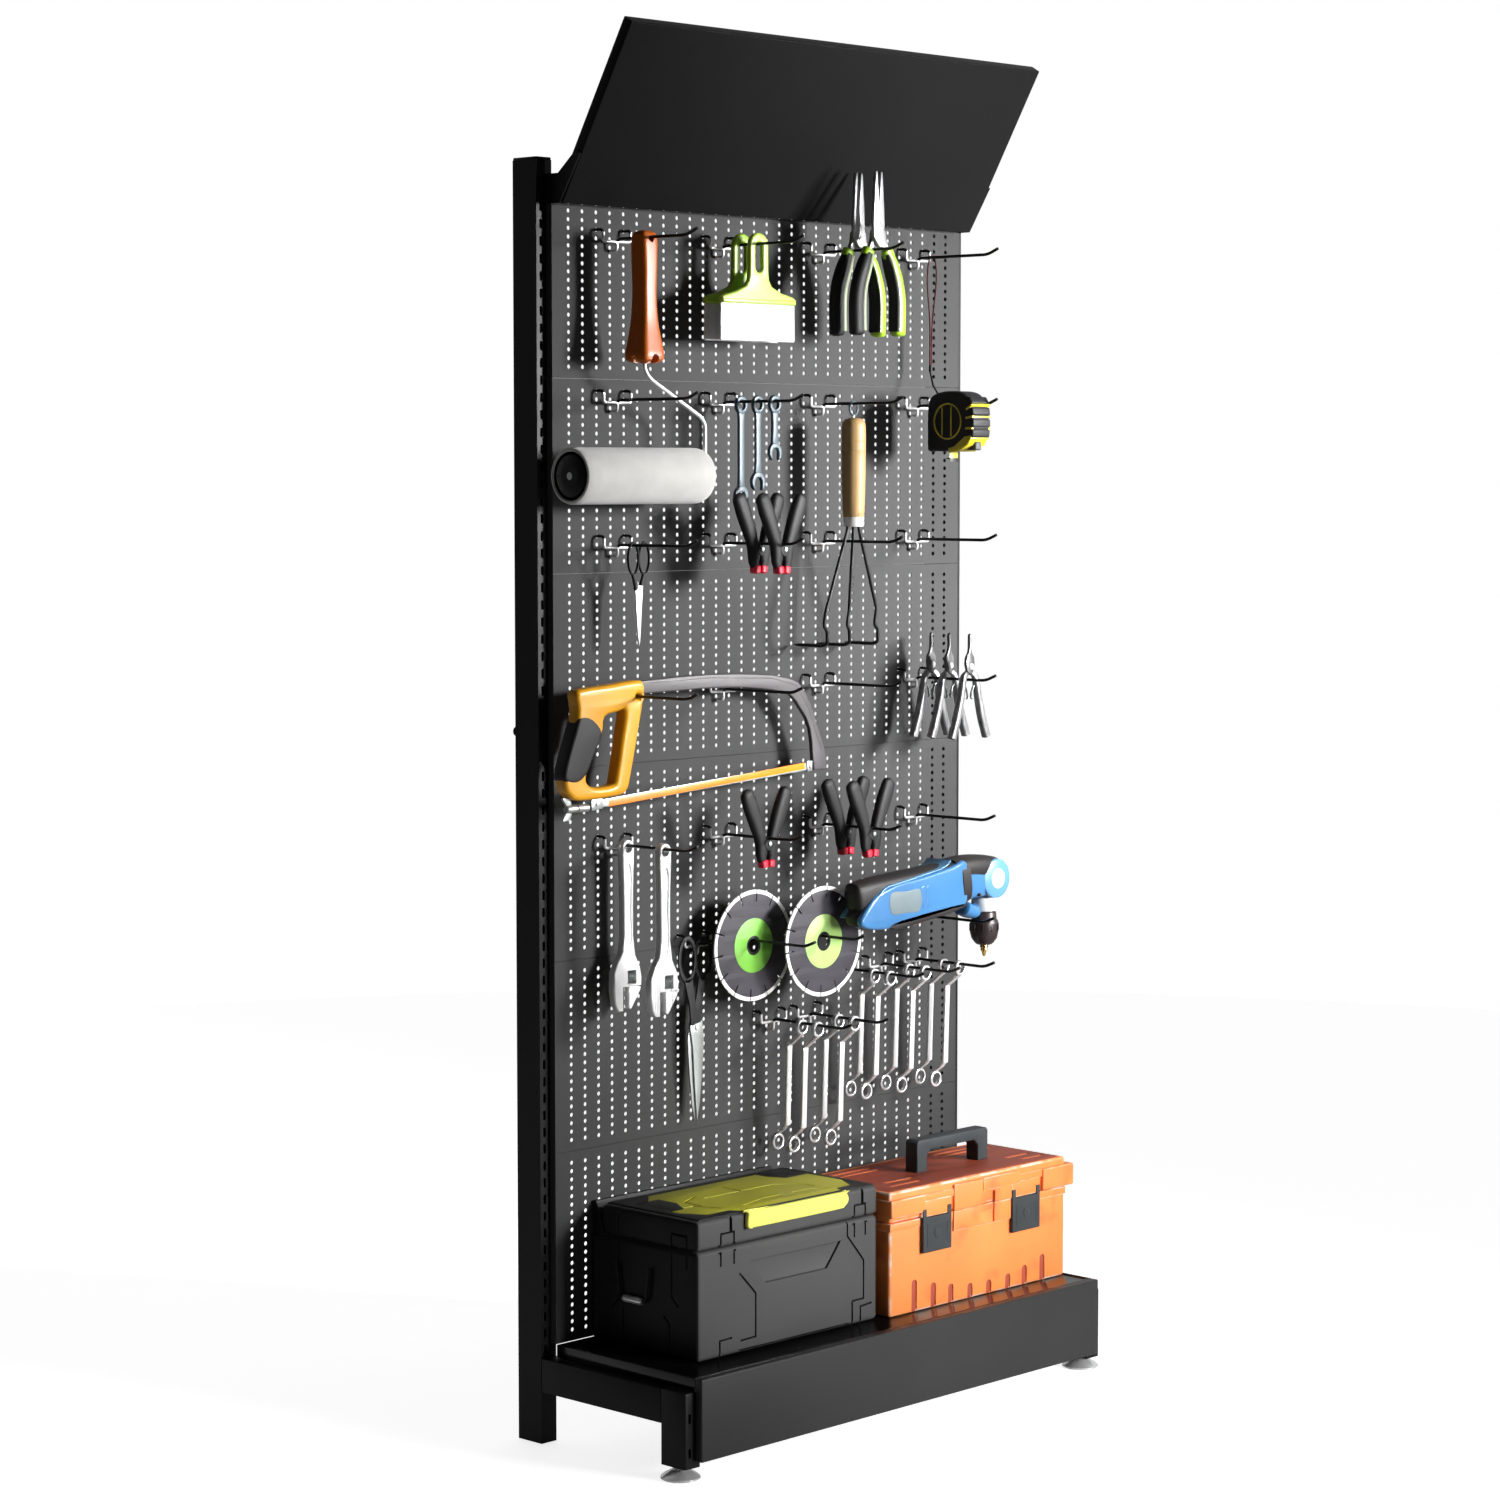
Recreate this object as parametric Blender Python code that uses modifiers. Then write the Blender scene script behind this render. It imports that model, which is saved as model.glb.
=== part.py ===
"""Pegboard tool wall: two slotted uprights carry six perforated steel panels, a leaning header board and a
raised base deck. Hooks hold hand tools and two toolboxes stand on the deck.

Metres, +Z up, floor at z = 0. x = 0 is the middle of the wall, the front faces -Y."""

import math

import bmesh
import bpy
from mathutils import Matrix, Vector

GAP = 0.0003  # left between neighbours
SHEET = 0.0015  # steel sheet

# Hole grid: 31 columns and 21 rows a panel
PITCH_X = 0.02772
PITCH_Z = 0.0125
MIDDLE_COLUMN = 15
PANELS = 6
PANEL_PITCH = 0.28408
TOP_ROW_Z = 1.8354

# Frame
PANEL_Y = 0.1205  # front plane of the panels
PANEL_HALF = 0.449
PANEL_DEPTH = 0.0115
PANEL_HEIGHT = 0.2835
PANEL_TOP = TOP_ROW_Z + 0.017
WALL_HALF = 0.468
TUBE = 0.030
UPRIGHT_FRONT = PANEL_Y + 0.012
UPRIGHT_DEPTH = 0.050
UPRIGHT_TOP = 1.886
WALL = 0.0020
RAIL_LOW, RAIL_TOP = 0.0776, 0.1282
LEG_FRONT, LEG_DEPTH, LEG_LOW = -0.1685, 0.050, 0.0177
KICK_FRONT, KICK_DEPTH = -0.1825, 0.0137
KICK_LOW, KICK_TOP = 0.0277, 0.1480
DECK_RECESS = 0.0025
DECK_SHEET = 0.0020

# Header board, leaning forward at the top
HEADER_FOOT = (0.0975, 1.8174)  # y, z of its front lower edge
HEADER_LEAN = math.radians(30.3)
HEADER_HEIGHT = 0.2858
HEADER_THICK = 0.018

# Wire hooks
HOOK_WIRE = 0.0020
PRONG_WIRE = 0.00225
HOOK_STAND = 0.0145  # from the panel to the hook's cross-bar
HOOK_RISE = 0.017  # from the cross-bar up to the holes
PRONG_RISE = 0.0038
PRONG_REACH = 0.160
PRONG_TIP = (0.0205, 0.0085)  # forward and up
SHORT_HOOK = (5, 8)  # row and column of the one with a short prong
SHORT_REACH, SHORT_TIP = 0.030, (0.0140, 0.0060)
HOOK_TAIL = 0.0125
# Left column of each hook, by row of hooks: (panel, hole row, columns)
HOOK_ROWS = (
    (0, 4, (2, 10, 18, 26)),
    (1, 0, (2, 10, 18, 26)),
    (1, 17, (2, 10, 18, 26)),
    (2, 12, (2, 10, 18, 26)),
    (3, 7, (2, 10, 18, 26)),
    (3, 20, (8, 11, 15, 26)),
    (4, 3, (20, 23, 26)),
    (4, 8, (14, 17)),
)

for old in list(bpy.data.objects):
    bpy.data.objects.remove(old)
PARTS = bpy.data.collections.new("pegboard_tool_wall")
CUTTERS = bpy.data.collections.new("cutters")
for group in (PARTS, CUTTERS):
    bpy.context.scene.collection.children.link(group)


def material(name, colour, roughness, metallic):
    made = bpy.data.materials.new(name)
    made.use_nodes = True
    shader = made.node_tree.nodes["Principled BSDF"]
    shader.inputs["Base Color"].default_value = (*colour, 1.0)
    shader.inputs["Roughness"].default_value = roughness
    shader.inputs["Metallic"].default_value = metallic
    return made


BLACK_COAT = material("black_powder_coat", (0.02, 0.02, 0.022), 0.45, 0.2)
GREY_COAT = material("panel_coat", (0.06, 0.06, 0.063), 0.5, 0.2)
HEADER_COAT = material("header_coat", (0.025, 0.025, 0.027), 0.5, 0.1)
CHROME = material("chrome_wire", (0.75, 0.75, 0.77), 0.12, 1.0)
BLACK_PLASTIC = material("black_plastic", (0.03, 0.03, 0.033), 0.45, 0.0)
LIME_PLASTIC = material("lime_plastic", (0.55, 0.72, 0.08), 0.4, 0.0)
ORANGE_PLASTIC = material("orange_plastic", (0.85, 0.23, 0.04), 0.5, 0.0)
HANDLE_ORANGE = material("handle_orange", (0.85, 0.28, 0.01), 0.4, 0.0)
FLEECE = material("fleece", (0.66, 0.65, 0.61), 0.95, 0.0)
STEEL = material("polished_steel", (0.8, 0.8, 0.8), 0.2, 1.0)
SATIN_STEEL = material("satin_steel", (0.45, 0.46, 0.48), 0.35, 1.0)
GREY_PAINT = material("grey_paint", (0.16, 0.155, 0.17), 0.45, 0.1)
YELLOW_PLASTIC = material("yellow_plastic", (0.9, 0.55, 0.02), 0.4, 0.0)
BLADE_ORANGE = material("orange_paint", (1.0, 0.35, 0.0), 0.4, 0.0)
DARK_CORD = material("dark_red_cord", (0.12, 0.005, 0.01), 0.8, 0.0)
BLUE_PLASTIC = material("blue_plastic", (0.12, 0.36, 0.72), 0.4, 0.0)
DISC_GREY = material("abrasive_disc", (0.08, 0.075, 0.09), 0.7, 0.1)


def column_x(column):
    return (column - MIDDLE_COLUMN) * PITCH_X


def hole_z(panel, row):
    return TOP_ROW_Z - panel * PANEL_PITCH - row * PITCH_Z


def prong_z(hook_row):
    panel, row, _ = HOOK_ROWS[hook_row]
    return hole_z(panel, row) - HOOK_RISE + PRONG_RISE


def show(obj, look):
    """Makes obj a part with that material."""
    PARTS.objects.link(obj)
    obj.data.materials.clear()
    obj.data.materials.append(look)
    return obj


def cutter(obj, group=CUTTERS):
    group.objects.link(obj)
    obj.hide_render = True
    obj.display_type = "WIRE"
    return obj


def block(name, low, high):
    """An upright box between two corners."""
    low, high = Vector(low), Vector(high)
    shape = bmesh.new()
    bmesh.ops.create_cube(shape, size=1.0)
    bmesh.ops.scale(shape, vec=high - low, verts=shape.verts)
    mesh = bpy.data.meshes.new(name)
    shape.to_mesh(mesh)
    shape.free()
    made = bpy.data.objects.new(name, mesh)
    made.location = (low + high) / 2
    return made


def drums(name, spots, radius, length, axis, sides=12):
    """Cylinders of one size, as one mesh, centred on each spot and lying along axis."""
    turn = Vector((0, 0, 1)).rotation_difference(Vector(axis)).to_matrix().to_4x4()
    shape = bmesh.new()
    for spot in spots:
        bmesh.ops.create_cone(
            shape, cap_ends=True, segments=sides, radius1=radius, radius2=radius,
            depth=length, matrix=Matrix.Translation(spot) @ turn,
        )
    mesh = bpy.data.meshes.new(name)
    shape.to_mesh(mesh)
    shape.free()
    return bpy.data.objects.new(name, mesh)


def plate(name, outlines, thickness, middle, across="Y"):
    """A flat plate with closed outlines, the inner ones being holes. Across Y its outlines are (x, z) and
    across X they are (y, z); middle is the place of its mid-plane on that axis."""
    data = bpy.data.curves.new(name, "CURVE")
    data.dimensions = "2D"
    data.fill_mode = "BOTH"
    data.extrude = thickness / 2
    for outline in outlines:
        spline = data.splines.new("POLY")
        spline.points.add(len(outline) - 1)
        for point, (u, v) in zip(spline.points, outline):
            point.co = (u, v, 0, 1)
        spline.use_cyclic_u = True
    made = bpy.data.objects.new(name, data)
    if across == "Y":
        made.rotation_euler = (math.pi / 2, 0, 0)
        made.location = (0, middle, 0)
    else:
        made.rotation_euler = (math.pi / 2, 0, math.pi / 2)
        made.location = (middle, 0, 0)
    return made


def wire(name, points, radius, resolution=1):
    """A round wire through the points."""
    data = bpy.data.curves.new(name, "CURVE")
    data.dimensions = "3D"
    data.bevel_depth = radius
    data.bevel_resolution = resolution
    data.use_fill_caps = True
    spline = data.splines.new("POLY")
    spline.points.add(len(points) - 1)
    for point, place in zip(spline.points, points):
        point.co = (*place, 1)
    return bpy.data.objects.new(name, data)


def turned(name, profile, place, axis="Z", steps=24):
    """A turned solid: profile is (radius, height) down its outer side, about an axis through place."""
    mesh = bpy.data.meshes.new(name)
    count = len(profile)
    mesh.from_pydata([(r, 0, h) for r, h in profile], [(i, i + 1) for i in range(count - 1)], [])
    made = bpy.data.objects.new(name, mesh)
    screw = made.modifiers.new("turn", "SCREW")
    screw.steps = screw.render_steps = steps
    screw.use_merge_vertices = True
    screw.merge_threshold = 0.00005
    made.location = place
    made.rotation_euler = {"Z": (0, 0, 0), "X": (0, math.pi / 2, 0), "Y": (math.pi / 2, 0, 0)}[axis]
    return made


def as_mesh(obj):
    """The object's evaluated shape as a welded mesh object, which replaces it."""
    holder = bpy.context.scene.collection
    holder.objects.link(obj)
    bpy.context.view_layer.update()
    graph = bpy.context.evaluated_depsgraph_get()
    mesh = bpy.data.meshes.new_from_object(obj.evaluated_get(graph))
    shape = bmesh.new()
    shape.from_mesh(mesh)
    bmesh.ops.remove_doubles(shape, verts=shape.verts, dist=0.00001)
    bmesh.ops.recalc_face_normals(shape, faces=shape.faces)
    shape.to_mesh(mesh)
    shape.free()
    made = bpy.data.objects.new(obj.name + "_mesh", mesh)
    made.matrix_world = obj.matrix_world.copy()
    name = obj.name
    bpy.data.objects.remove(obj)
    made.name = name
    return made


def boolean(obj, other, operation):
    step = obj.modifiers.new(operation.lower(), "BOOLEAN")
    step.operation = operation
    step.solver = "EXACT"
    step.object = other
    return obj


def cut(obj, *tools):
    for tool in tools:
        boolean(obj, cutter(tool), "DIFFERENCE")
    return obj


def fuse(obj, *others):
    for other in others:
        boolean(obj, cutter(other), "UNION")
    return obj


def arc(cx, cz, rx, rz, start, end, count):
    """Points on an ellipse's arc, angles in degrees, anticlockwise from +u when end > start."""
    angles = [math.radians(start + (end - start) * i / (count - 1)) for i in range(count)]
    return [(cx + rx * math.cos(a), cz + rz * math.sin(a)) for a in angles]


def ring(cx, cz, rx, rz, count=16):
    return arc(cx, cz, rx, rz, 0, 360 * (count - 1) / count, count)


def capsule(cx, low, high, radius, count=5):
    """A long upright slot with round ends."""
    upper = arc(cx, high - radius, radius, radius, 0, 180, count)
    return upper + arc(cx, low + radius, radius, radius, 180, 360, count)


# ---------------------------------------------------------------- frame

def tube_block(name, low, high, open_side):
    """A square tube with one open end, "low" or "high" along z, or "back" along +y."""
    outer = block(name, low, high)
    inner_low = [c + WALL for c in low]
    inner_high = [c - WALL for c in high]
    if open_side == "low":
        inner_low[2] = low[2] - 0.01
    elif open_side == "high":
        inner_high[2] = high[2] + 0.01
    else:
        inner_high[1] = high[1] + 0.01
    return cut(outer, block(name + "_bore", inner_low, inner_high))


def side_span(side):
    """The x range of the left (-1) or right (+1) frame tubes."""
    return sorted((side * (WALL_HALF - TUBE), side * WALL_HALF))


def make_side(side, label):
    x0, x1 = side_span(side)
    back = UPRIGHT_FRONT + UPRIGHT_DEPTH
    upright = tube_block(f"upright_{label}", (x0, UPRIGHT_FRONT, 0), (x1, back, UPRIGHT_TOP), "low")
    show(upright, BLACK_COAT)
    leg_back = LEG_FRONT + LEG_DEPTH
    rail = tube_block(
        f"base_rail_{label}", (x0, leg_back + GAP, RAIL_LOW), (x1, UPRIGHT_FRONT - GAP, RAIL_TOP), "back"
    )
    show(rail, BLACK_COAT)
    leg = tube_block(f"front_leg_{label}", (x0, LEG_FRONT, LEG_LOW), (x1, leg_back, RAIL_TOP), "high")
    leg_middle = ((x0 + x1) / 2, LEG_FRONT + LEG_DEPTH / 2, LEG_LOW)
    cut(leg, drums(f"stem_hole_{label}", [leg_middle], 0.0056, 0.02, (0, 0, 1)))
    show(leg, BLACK_COAT)
    pad = [(0, 0.060), (0.005, 0.060), (0.005, 0.0155), (0.012, 0.0150), (0.0285, 0.0050), (0.0290, 0), (0, 0)]
    foot = turned(f"levelling_foot_{label}", pad, (leg_middle[0], leg_middle[1], 0))
    show(foot, CHROME)


def make_kick_plate():
    back = KICK_FRONT + KICK_DEPTH
    kick = block("kick_plate", (-PANEL_HALF, KICK_FRONT, KICK_LOW), (PANEL_HALF, back, KICK_TOP))
    hollow = block(
        "kick_hollow",
        (-PANEL_HALF + SHEET, KICK_FRONT + SHEET, KICK_LOW + SHEET),
        (PANEL_HALF - SHEET, back + 0.01, KICK_TOP - SHEET),
    )
    show(cut(kick, hollow), BLACK_COAT)


def make_deck():
    front = KICK_FRONT + KICK_DEPTH + GAP
    back = PANEL_Y - 2 * GAP
    half = PANEL_HALF - GAP
    low = RAIL_TOP + GAP
    floor_top = KICK_TOP - DECK_RECESS
    deck = block("base_deck", (-half, front, low), (half, back, KICK_TOP))
    tray = block(
        "deck_tray", (-half + SHEET, front + SHEET, floor_top), (half - SHEET, back - SHEET, KICK_TOP + 0.01)
    )
    under = block(
        "deck_under",
        (-half + SHEET, front + SHEET, low - 0.01),
        (half - SHEET, back - SHEET, floor_top - DECK_SHEET),
    )
    show(cut(deck, tray, under), BLACK_COAT)


def hook_holes(panel):
    """Where hooks pass through this panel."""
    return [
        (column_x(column + side), hole_z(panel, row))
        for on_panel, row, columns in HOOK_ROWS
        if on_panel == panel
        for column in columns
        for side in (0, 2)
    ]


def make_panel(panel):
    top = PANEL_TOP - panel * PANEL_PITCH
    low = top - PANEL_HEIGHT
    name = f"back_panel_{panel + 1}"
    tray = block(name, (-PANEL_HALF, PANEL_Y, low), (PANEL_HALF, PANEL_Y + PANEL_DEPTH, top))
    hollow = block(
        name + "_hollow",
        (-PANEL_HALF + SHEET, PANEL_Y + SHEET, low + SHEET),
        (PANEL_HALF - SHEET, PANEL_Y + PANEL_DEPTH + 0.01, top - SHEET),
    )
    cut(tray, hollow)
    holes = hook_holes(panel)
    if holes:
        spots = [(x, PANEL_Y, z) for x, z in holes]
        cut(tray, drums(name + "_holes", spots, 0.0033, 0.01, (0, 1, 0), sides=6))
    show(tray, GREY_COAT)


def make_header():
    board = block("header_board", (-PANEL_HALF, 0, 0), (PANEL_HALF, HEADER_THICK, HEADER_HEIGHT))
    hollow = block(
        "header_hollow",
        (-PANEL_HALF + SHEET, SHEET, SHEET),
        (PANEL_HALF - SHEET, HEADER_THICK + 0.01, HEADER_HEIGHT - SHEET),
    )
    lean = Matrix.Translation((0, *HEADER_FOOT)) @ Matrix.Rotation(HEADER_LEAN, 4, "X")
    for obj in (board, hollow):
        obj.data.transform(lean @ Matrix.Translation(obj.location))
        obj.location = (0, 0, 0)
    show(cut(board, hollow), HEADER_COAT)
    foot_y, foot_z = HEADER_FOOT
    reach = 0.085
    up_y, up_z = -math.sin(HEADER_LEAN) * reach, math.cos(HEADER_LEAN) * reach
    outline = [
        (UPRIGHT_FRONT - GAP, foot_z + 0.001),
        (UPRIGHT_FRONT - GAP, foot_z + 0.044),
        (foot_y + 0.006, foot_z + 0.044),
        (foot_y + up_y + 0.013, foot_z + up_z),
        (foot_y + up_y + 0.003, foot_z + up_z - 0.004),
        (foot_y + 0.003, foot_z + 0.001),
    ]
    for side, label in ((-1, "left"), (1, "right")):
        middle = side * (PANEL_HALF + GAP + 0.0015)
        show(plate(f"header_bracket_{label}", [outline], 0.003, middle, across="X"), BLACK_COAT)


# ---------------------------------------------------------------- hooks

def hook_wires(name, column, entry_z, group, reach=PRONG_REACH, tip=PRONG_TIP):
    """One hook: a cross-bar whose raised ends go into two holes, a long prong and a short tail."""
    left, middle, right = (column_x(column + i) for i in (0, 1, 2))
    front = PANEL_Y - HOOK_STAND
    behind = PANEL_Y + 0.0045
    bar_z = entry_z - HOOK_RISE
    prong = bar_z + PRONG_RISE
    bar = wire(
        name + "_bar",
        [
            (left, behind, entry_z), (left, front, entry_z), (left, front, bar_z),
            (right, front, bar_z), (right, front, entry_z), (right, behind, entry_z),
        ],
        HOOK_WIRE,
        resolution=0,
    )
    long_prong = wire(
        name + "_prong",
        [
            (middle, front, bar_z), (middle, front - 0.005, prong), (middle, PANEL_Y - reach, prong),
            (middle, PANEL_Y - reach - tip[0], prong + tip[1]),
        ],
        PRONG_WIRE,
    )
    tail = wire(
        name + "_tail",
        [
            (middle, front, bar_z + 0.0005), (middle, front, bar_z - HOOK_TAIL),
            (middle, PANEL_Y - 2 * GAP, bar_z - HOOK_TAIL),
        ],
        HOOK_WIRE,
        resolution=0,
    )
    for piece in (bar, long_prong, tail):
        cutter(as_mesh(piece), group)


def make_hook_row(index):
    """The hooks of one row, held together by a flat strip behind the panel."""
    panel, row, columns = HOOK_ROWS[index]
    entry_z = hole_z(panel, row)
    name = f"hook_row_{index + 1}"
    strip = block(
        name,
        (column_x(columns[0]) - 0.006, PANEL_Y + 0.0030, entry_z - 0.0045),
        (column_x(columns[-1] + 2) + 0.006, PANEL_Y + 0.0055, entry_z + 0.0045),
    )
    wires = bpy.data.collections.new(name + "_wires")
    CUTTERS.children.link(wires)
    for column in columns:
        size = (SHORT_REACH, SHORT_TIP) if (index, column) == SHORT_HOOK else (PRONG_REACH, PRONG_TIP)
        hook_wires(f"{name}_{column}", column, entry_z, wires, *size)
    join = strip.modifiers.new("join", "BOOLEAN")
    join.operation = "UNION"
    join.solver = "EXACT"
    join.operand_type = "COLLECTION"
    join.collection = wires
    show(strip, CHROME)


# ---------------------------------------------------------------- toolboxes

BOX_FLOOR = KICK_TOP - DECK_RECESS + GAP
BLACK_BOX = ((-0.3808, -0.1055), (0.0082, 0.0945))  # x, y corners
BLACK_SEAM, BLACK_TOP = 0.3079, 0.3554
ORANGE_BOX = ((0.0242, -0.1165), (0.4442, 0.0685))
ORANGE_SEAM, ORANGE_TOP = 0.2910, 0.3399
BOX_WALL = 0.004


def box_body(name, footprint, top, look):
    (x0, y0), (x1, y1) = footprint
    body = block(name, (x0, y0, BOX_FLOOR), (x1, y1, top))
    inside = block(
        name + "_inside",
        (x0 + BOX_WALL, y0 + BOX_WALL, BOX_FLOOR + BOX_WALL),
        (x1 - BOX_WALL, y1 - BOX_WALL, top + 0.01),
    )
    show(cut(body, inside), look)


def box_lid(name, footprint, seam, top, chamfer, look):
    """A lid with a hollow underside and a chamfered rear top edge, which clears the panels as it opens."""
    (x0, y0), (x1, y1) = footprint
    low = seam + GAP
    outline = [(y0, low), (y1, low), (y1, top - chamfer), (y1 - chamfer, top), (y0 + 0.004, top), (y0, top - 0.004)]
    lid = as_mesh(plate(name, [outline], x1 - x0, (x0 + x1) / 2, across="X"))
    inside = block(
        name + "_inside",
        (x0 + BOX_WALL, y0 + BOX_WALL, low - 0.01),
        (x1 - BOX_WALL, y1 - BOX_WALL, top - max(chamfer, 0.006) - 0.004),
    )
    show(cut(lid, inside), look)


def make_black_box():
    box_body("black_box_body", BLACK_BOX, BLACK_SEAM, BLACK_PLASTIC)
    box_lid("black_box_lid", BLACK_BOX, BLACK_SEAM, BLACK_TOP, 0.020, BLACK_PLASTIC)
    (x0, y0), _ = BLACK_BOX
    latch = block("black_box_latch", (-0.283, y0 - 0.0085, 0.3320), (-0.065, y0 - GAP, 0.3560))
    show(latch, LIME_PLASTIC)
    out = x0 - 0.0045
    high, low = 0.274, 0.2205
    bail = wire(
        "black_box_side_handle",
        [(out, 0.0573, high), (out, 0.0505, low), (out, -0.0035, low), (out, -0.0103, high)],
        0.003,
    )
    show(bail, STEEL)


def make_orange_box():
    box_body("orange_box_body", ORANGE_BOX, ORANGE_SEAM, ORANGE_PLASTIC)
    box_lid("orange_box_lid", ORANGE_BOX, ORANGE_SEAM, ORANGE_TOP, 0.010, ORANGE_PLASTIC)
    foot = ORANGE_TOP + GAP
    x0, x1, top = 0.170, 0.340, 0.3905
    leg, bar = 0.024, 0.017
    arch = [
        (x0, foot), (x0 + leg, foot), (x0 + leg, top - bar - 0.006), (x0 + leg + 0.006, top - bar),
        (x1 - leg - 0.006, top - bar), (x1 - leg, top - bar - 0.006), (x1 - leg, foot), (x1, foot),
        (x1, top - 0.004), (x1 - 0.004, top), (x0 + 0.004, top), (x0, top - 0.004),
    ]
    show(plate("orange_box_handle", [arch], 0.026, -0.030), BLACK_PLASTIC)
    (_, y0), _ = ORANGE_BOX
    for label, left, right in (("left", 0.093, 0.159), ("right", 0.306, 0.373)):
        prong = 0.010
        low, shoulder, high = 0.236, 0.290, 0.304
        outline = [
            (left, low), (right, low), (right, high), (right - prong, high), (right - prong, shoulder),
            (left + prong, shoulder), (left + prong, high), (left, high),
        ]
        show(plate(f"orange_box_latch_{label}", [outline], 0.008, y0 - 0.0045), BLACK_PLASTIC)


# ---------------------------------------------------------------- tools

def make_paint_roller():
    x = column_x(3)
    y = PANEL_Y - 0.072
    hang = prong_z(0) - 0.0024
    top, low = hang + 0.0125, hang - 0.1805
    half_top, half_low, waist = 0.015, 0.0215, 0.0125
    outline = [
        (x - half_low, low), (x + half_low, low), (x + half_low - 0.001, low + 0.012),
        (x + waist, low + 0.075), (x + half_top, top - 0.030), (x + half_top, top),
        (x - half_top, top), (x - half_top, top - 0.030), (x - waist, low + 0.075),
        (x - half_low + 0.001, low + 0.012),
    ]
    handle = plate("roller_handle", [outline, ring(x, hang, 0.0047, 0.0047, 12)], 0.032, y)
    socket = drums("roller_socket", [(x, y, low)], 0.0036, 0.05, (0, 0, 1))
    show(cut(as_mesh(handle), socket), HANDLE_ORANGE)
    side_x, axis_z = -0.2080, 1.4270
    route = [
        (x, y, low + 0.020), (x, y, low - 0.008), (x + 0.011, y, low - 0.021), (side_x - 0.009, y, axis_z + 0.087),
        (side_x, y, axis_z + 0.076), (side_x, y, axis_z + 0.010), (side_x - 0.004, y, axis_z + 0.002),
        (side_x - 0.010, y, axis_z), (-0.4795, y, axis_z),
    ]
    show(wire("roller_frame", route, 0.0030, resolution=2), CHROME)
    left, right, radius, bore = -0.4835, -0.2195, 0.0412, 0.0040
    profile = [
        (bore, right - left), (radius - 0.006, right - left), (radius, right - left - 0.004), (radius, 0.004),
        (radius - 0.006, 0), (bore, 0), (bore, right - left),
    ]
    show(turned("roller_sleeve", profile, (left, y, axis_z), axis="X", steps=32), FLEECE)


def make_scraper(name, y):
    x = column_x(11)
    slot_top = prong_z(0) + PRONG_WIRE + GAP
    loop_top = slot_top + 0.0140
    bar_top, bar_low, blade_low = loop_top - 0.087, loop_top - 0.106, loop_top - 0.161
    loop, half = 0.0200, 0.0800
    handle = arc(x, loop_top - loop, loop, loop, 0, 180, 9)
    outline = handle + [
        (x - loop, bar_top + 0.022), (x - loop - 0.006, bar_top + 0.006), (x - half, bar_top - 0.004),
        (x - half, bar_low), (x + half, bar_low), (x + half, bar_top - 0.004), (x + loop + 0.006, bar_top + 0.006),
        (x + loop, bar_top + 0.022),
    ]
    slot = capsule(x, slot_top - 0.045, slot_top, 0.0075)
    grip = as_mesh(plate(name, [outline, slot], 0.009, y))
    blade_outline = [
        (x - half + 0.001, bar_low + 0.004), (x - half, blade_low), (x + half, blade_low),
        (x + half - 0.001, bar_low + 0.004),
    ]
    show(fuse(grip, as_mesh(plate(name + "_blade", [blade_outline], 0.0022, y))), LIME_PLASTIC)


def mirrored(outline, middle):
    return [(2 * middle - u, v) for u, v in reversed(outline)]


def pivot_pair(names, outline, middle, pivot_z, y, thickness, radius, look):
    """Two levers, one the mirror image of the other, one behind the other on a pin that the first holds."""
    front = as_mesh(plate(names[0], [outline], thickness, y - thickness / 2 - GAP / 2))
    rear = plate(names[1], [mirrored(outline, middle)], thickness, y + thickness / 2 + GAP / 2)
    pin_middle = (middle, y, pivot_z)
    pin = drums(names[0] + "_pin", [pin_middle], radius, 2 * thickness + 0.002, (0, 1, 0), sides=10)
    show(fuse(front, pin), look)
    hole = drums(names[1] + "_hole", [pin_middle], radius + 0.0005, 4 * thickness, (0, 1, 0), sides=10)
    show(cut(as_mesh(rear), hole), look)


def make_needle_nose_pliers():
    """One lever: a jaw on the left of the pivot and a grip on its right."""
    x = column_x(19)
    crotch = prong_z(0) + PRONG_WIRE + 0.0006
    pivot_z = crotch + 0.013
    tip = pivot_z + 0.102
    grip_low = pivot_z - 0.150
    outline = [
        (x - 0.0008, tip), (x - 0.0028, tip), (x - 0.010, pivot_z + 0.045), (x - 0.0135, pivot_z + 0.020),
        (x - 0.013, pivot_z - 0.002), (x - 0.0035, crotch + 0.0002), (x + 0.0033, crotch), (x + 0.011, crotch - 0.0042),
        (x + 0.022, pivot_z - 0.050),
        (x + 0.031, pivot_z - 0.090), (x + 0.030, grip_low), (x + 0.054, grip_low), (x + 0.056, pivot_z - 0.090),
        (x + 0.044, pivot_z - 0.045), (x + 0.031, pivot_z - 0.013), (x + 0.013, pivot_z - 0.003),
        (x + 0.011, pivot_z + 0.010), (x - 0.0008, pivot_z + 0.024),
    ]
    pivot_pair(
        ("pliers_lever_front", "pliers_lever_rear"), outline, x, pivot_z, PANEL_Y - 0.128, 0.007, 0.003, STEEL
    )


# Lanyard: both strands leave the ferrule, part and meet over the prong
LANYARD_RADIUS = 0.0014
LANYARD_Y = PANEL_Y - 0.045
FERRULE_X = 0.3290
FERRULE_TOP = 1.6030
TAPE_X, TAPE_HALF = 0.3106, 0.0165
TAPE_Y = (-0.0415, 0.0485)
TAPE_Z = (1.4650, 1.5590)


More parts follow.
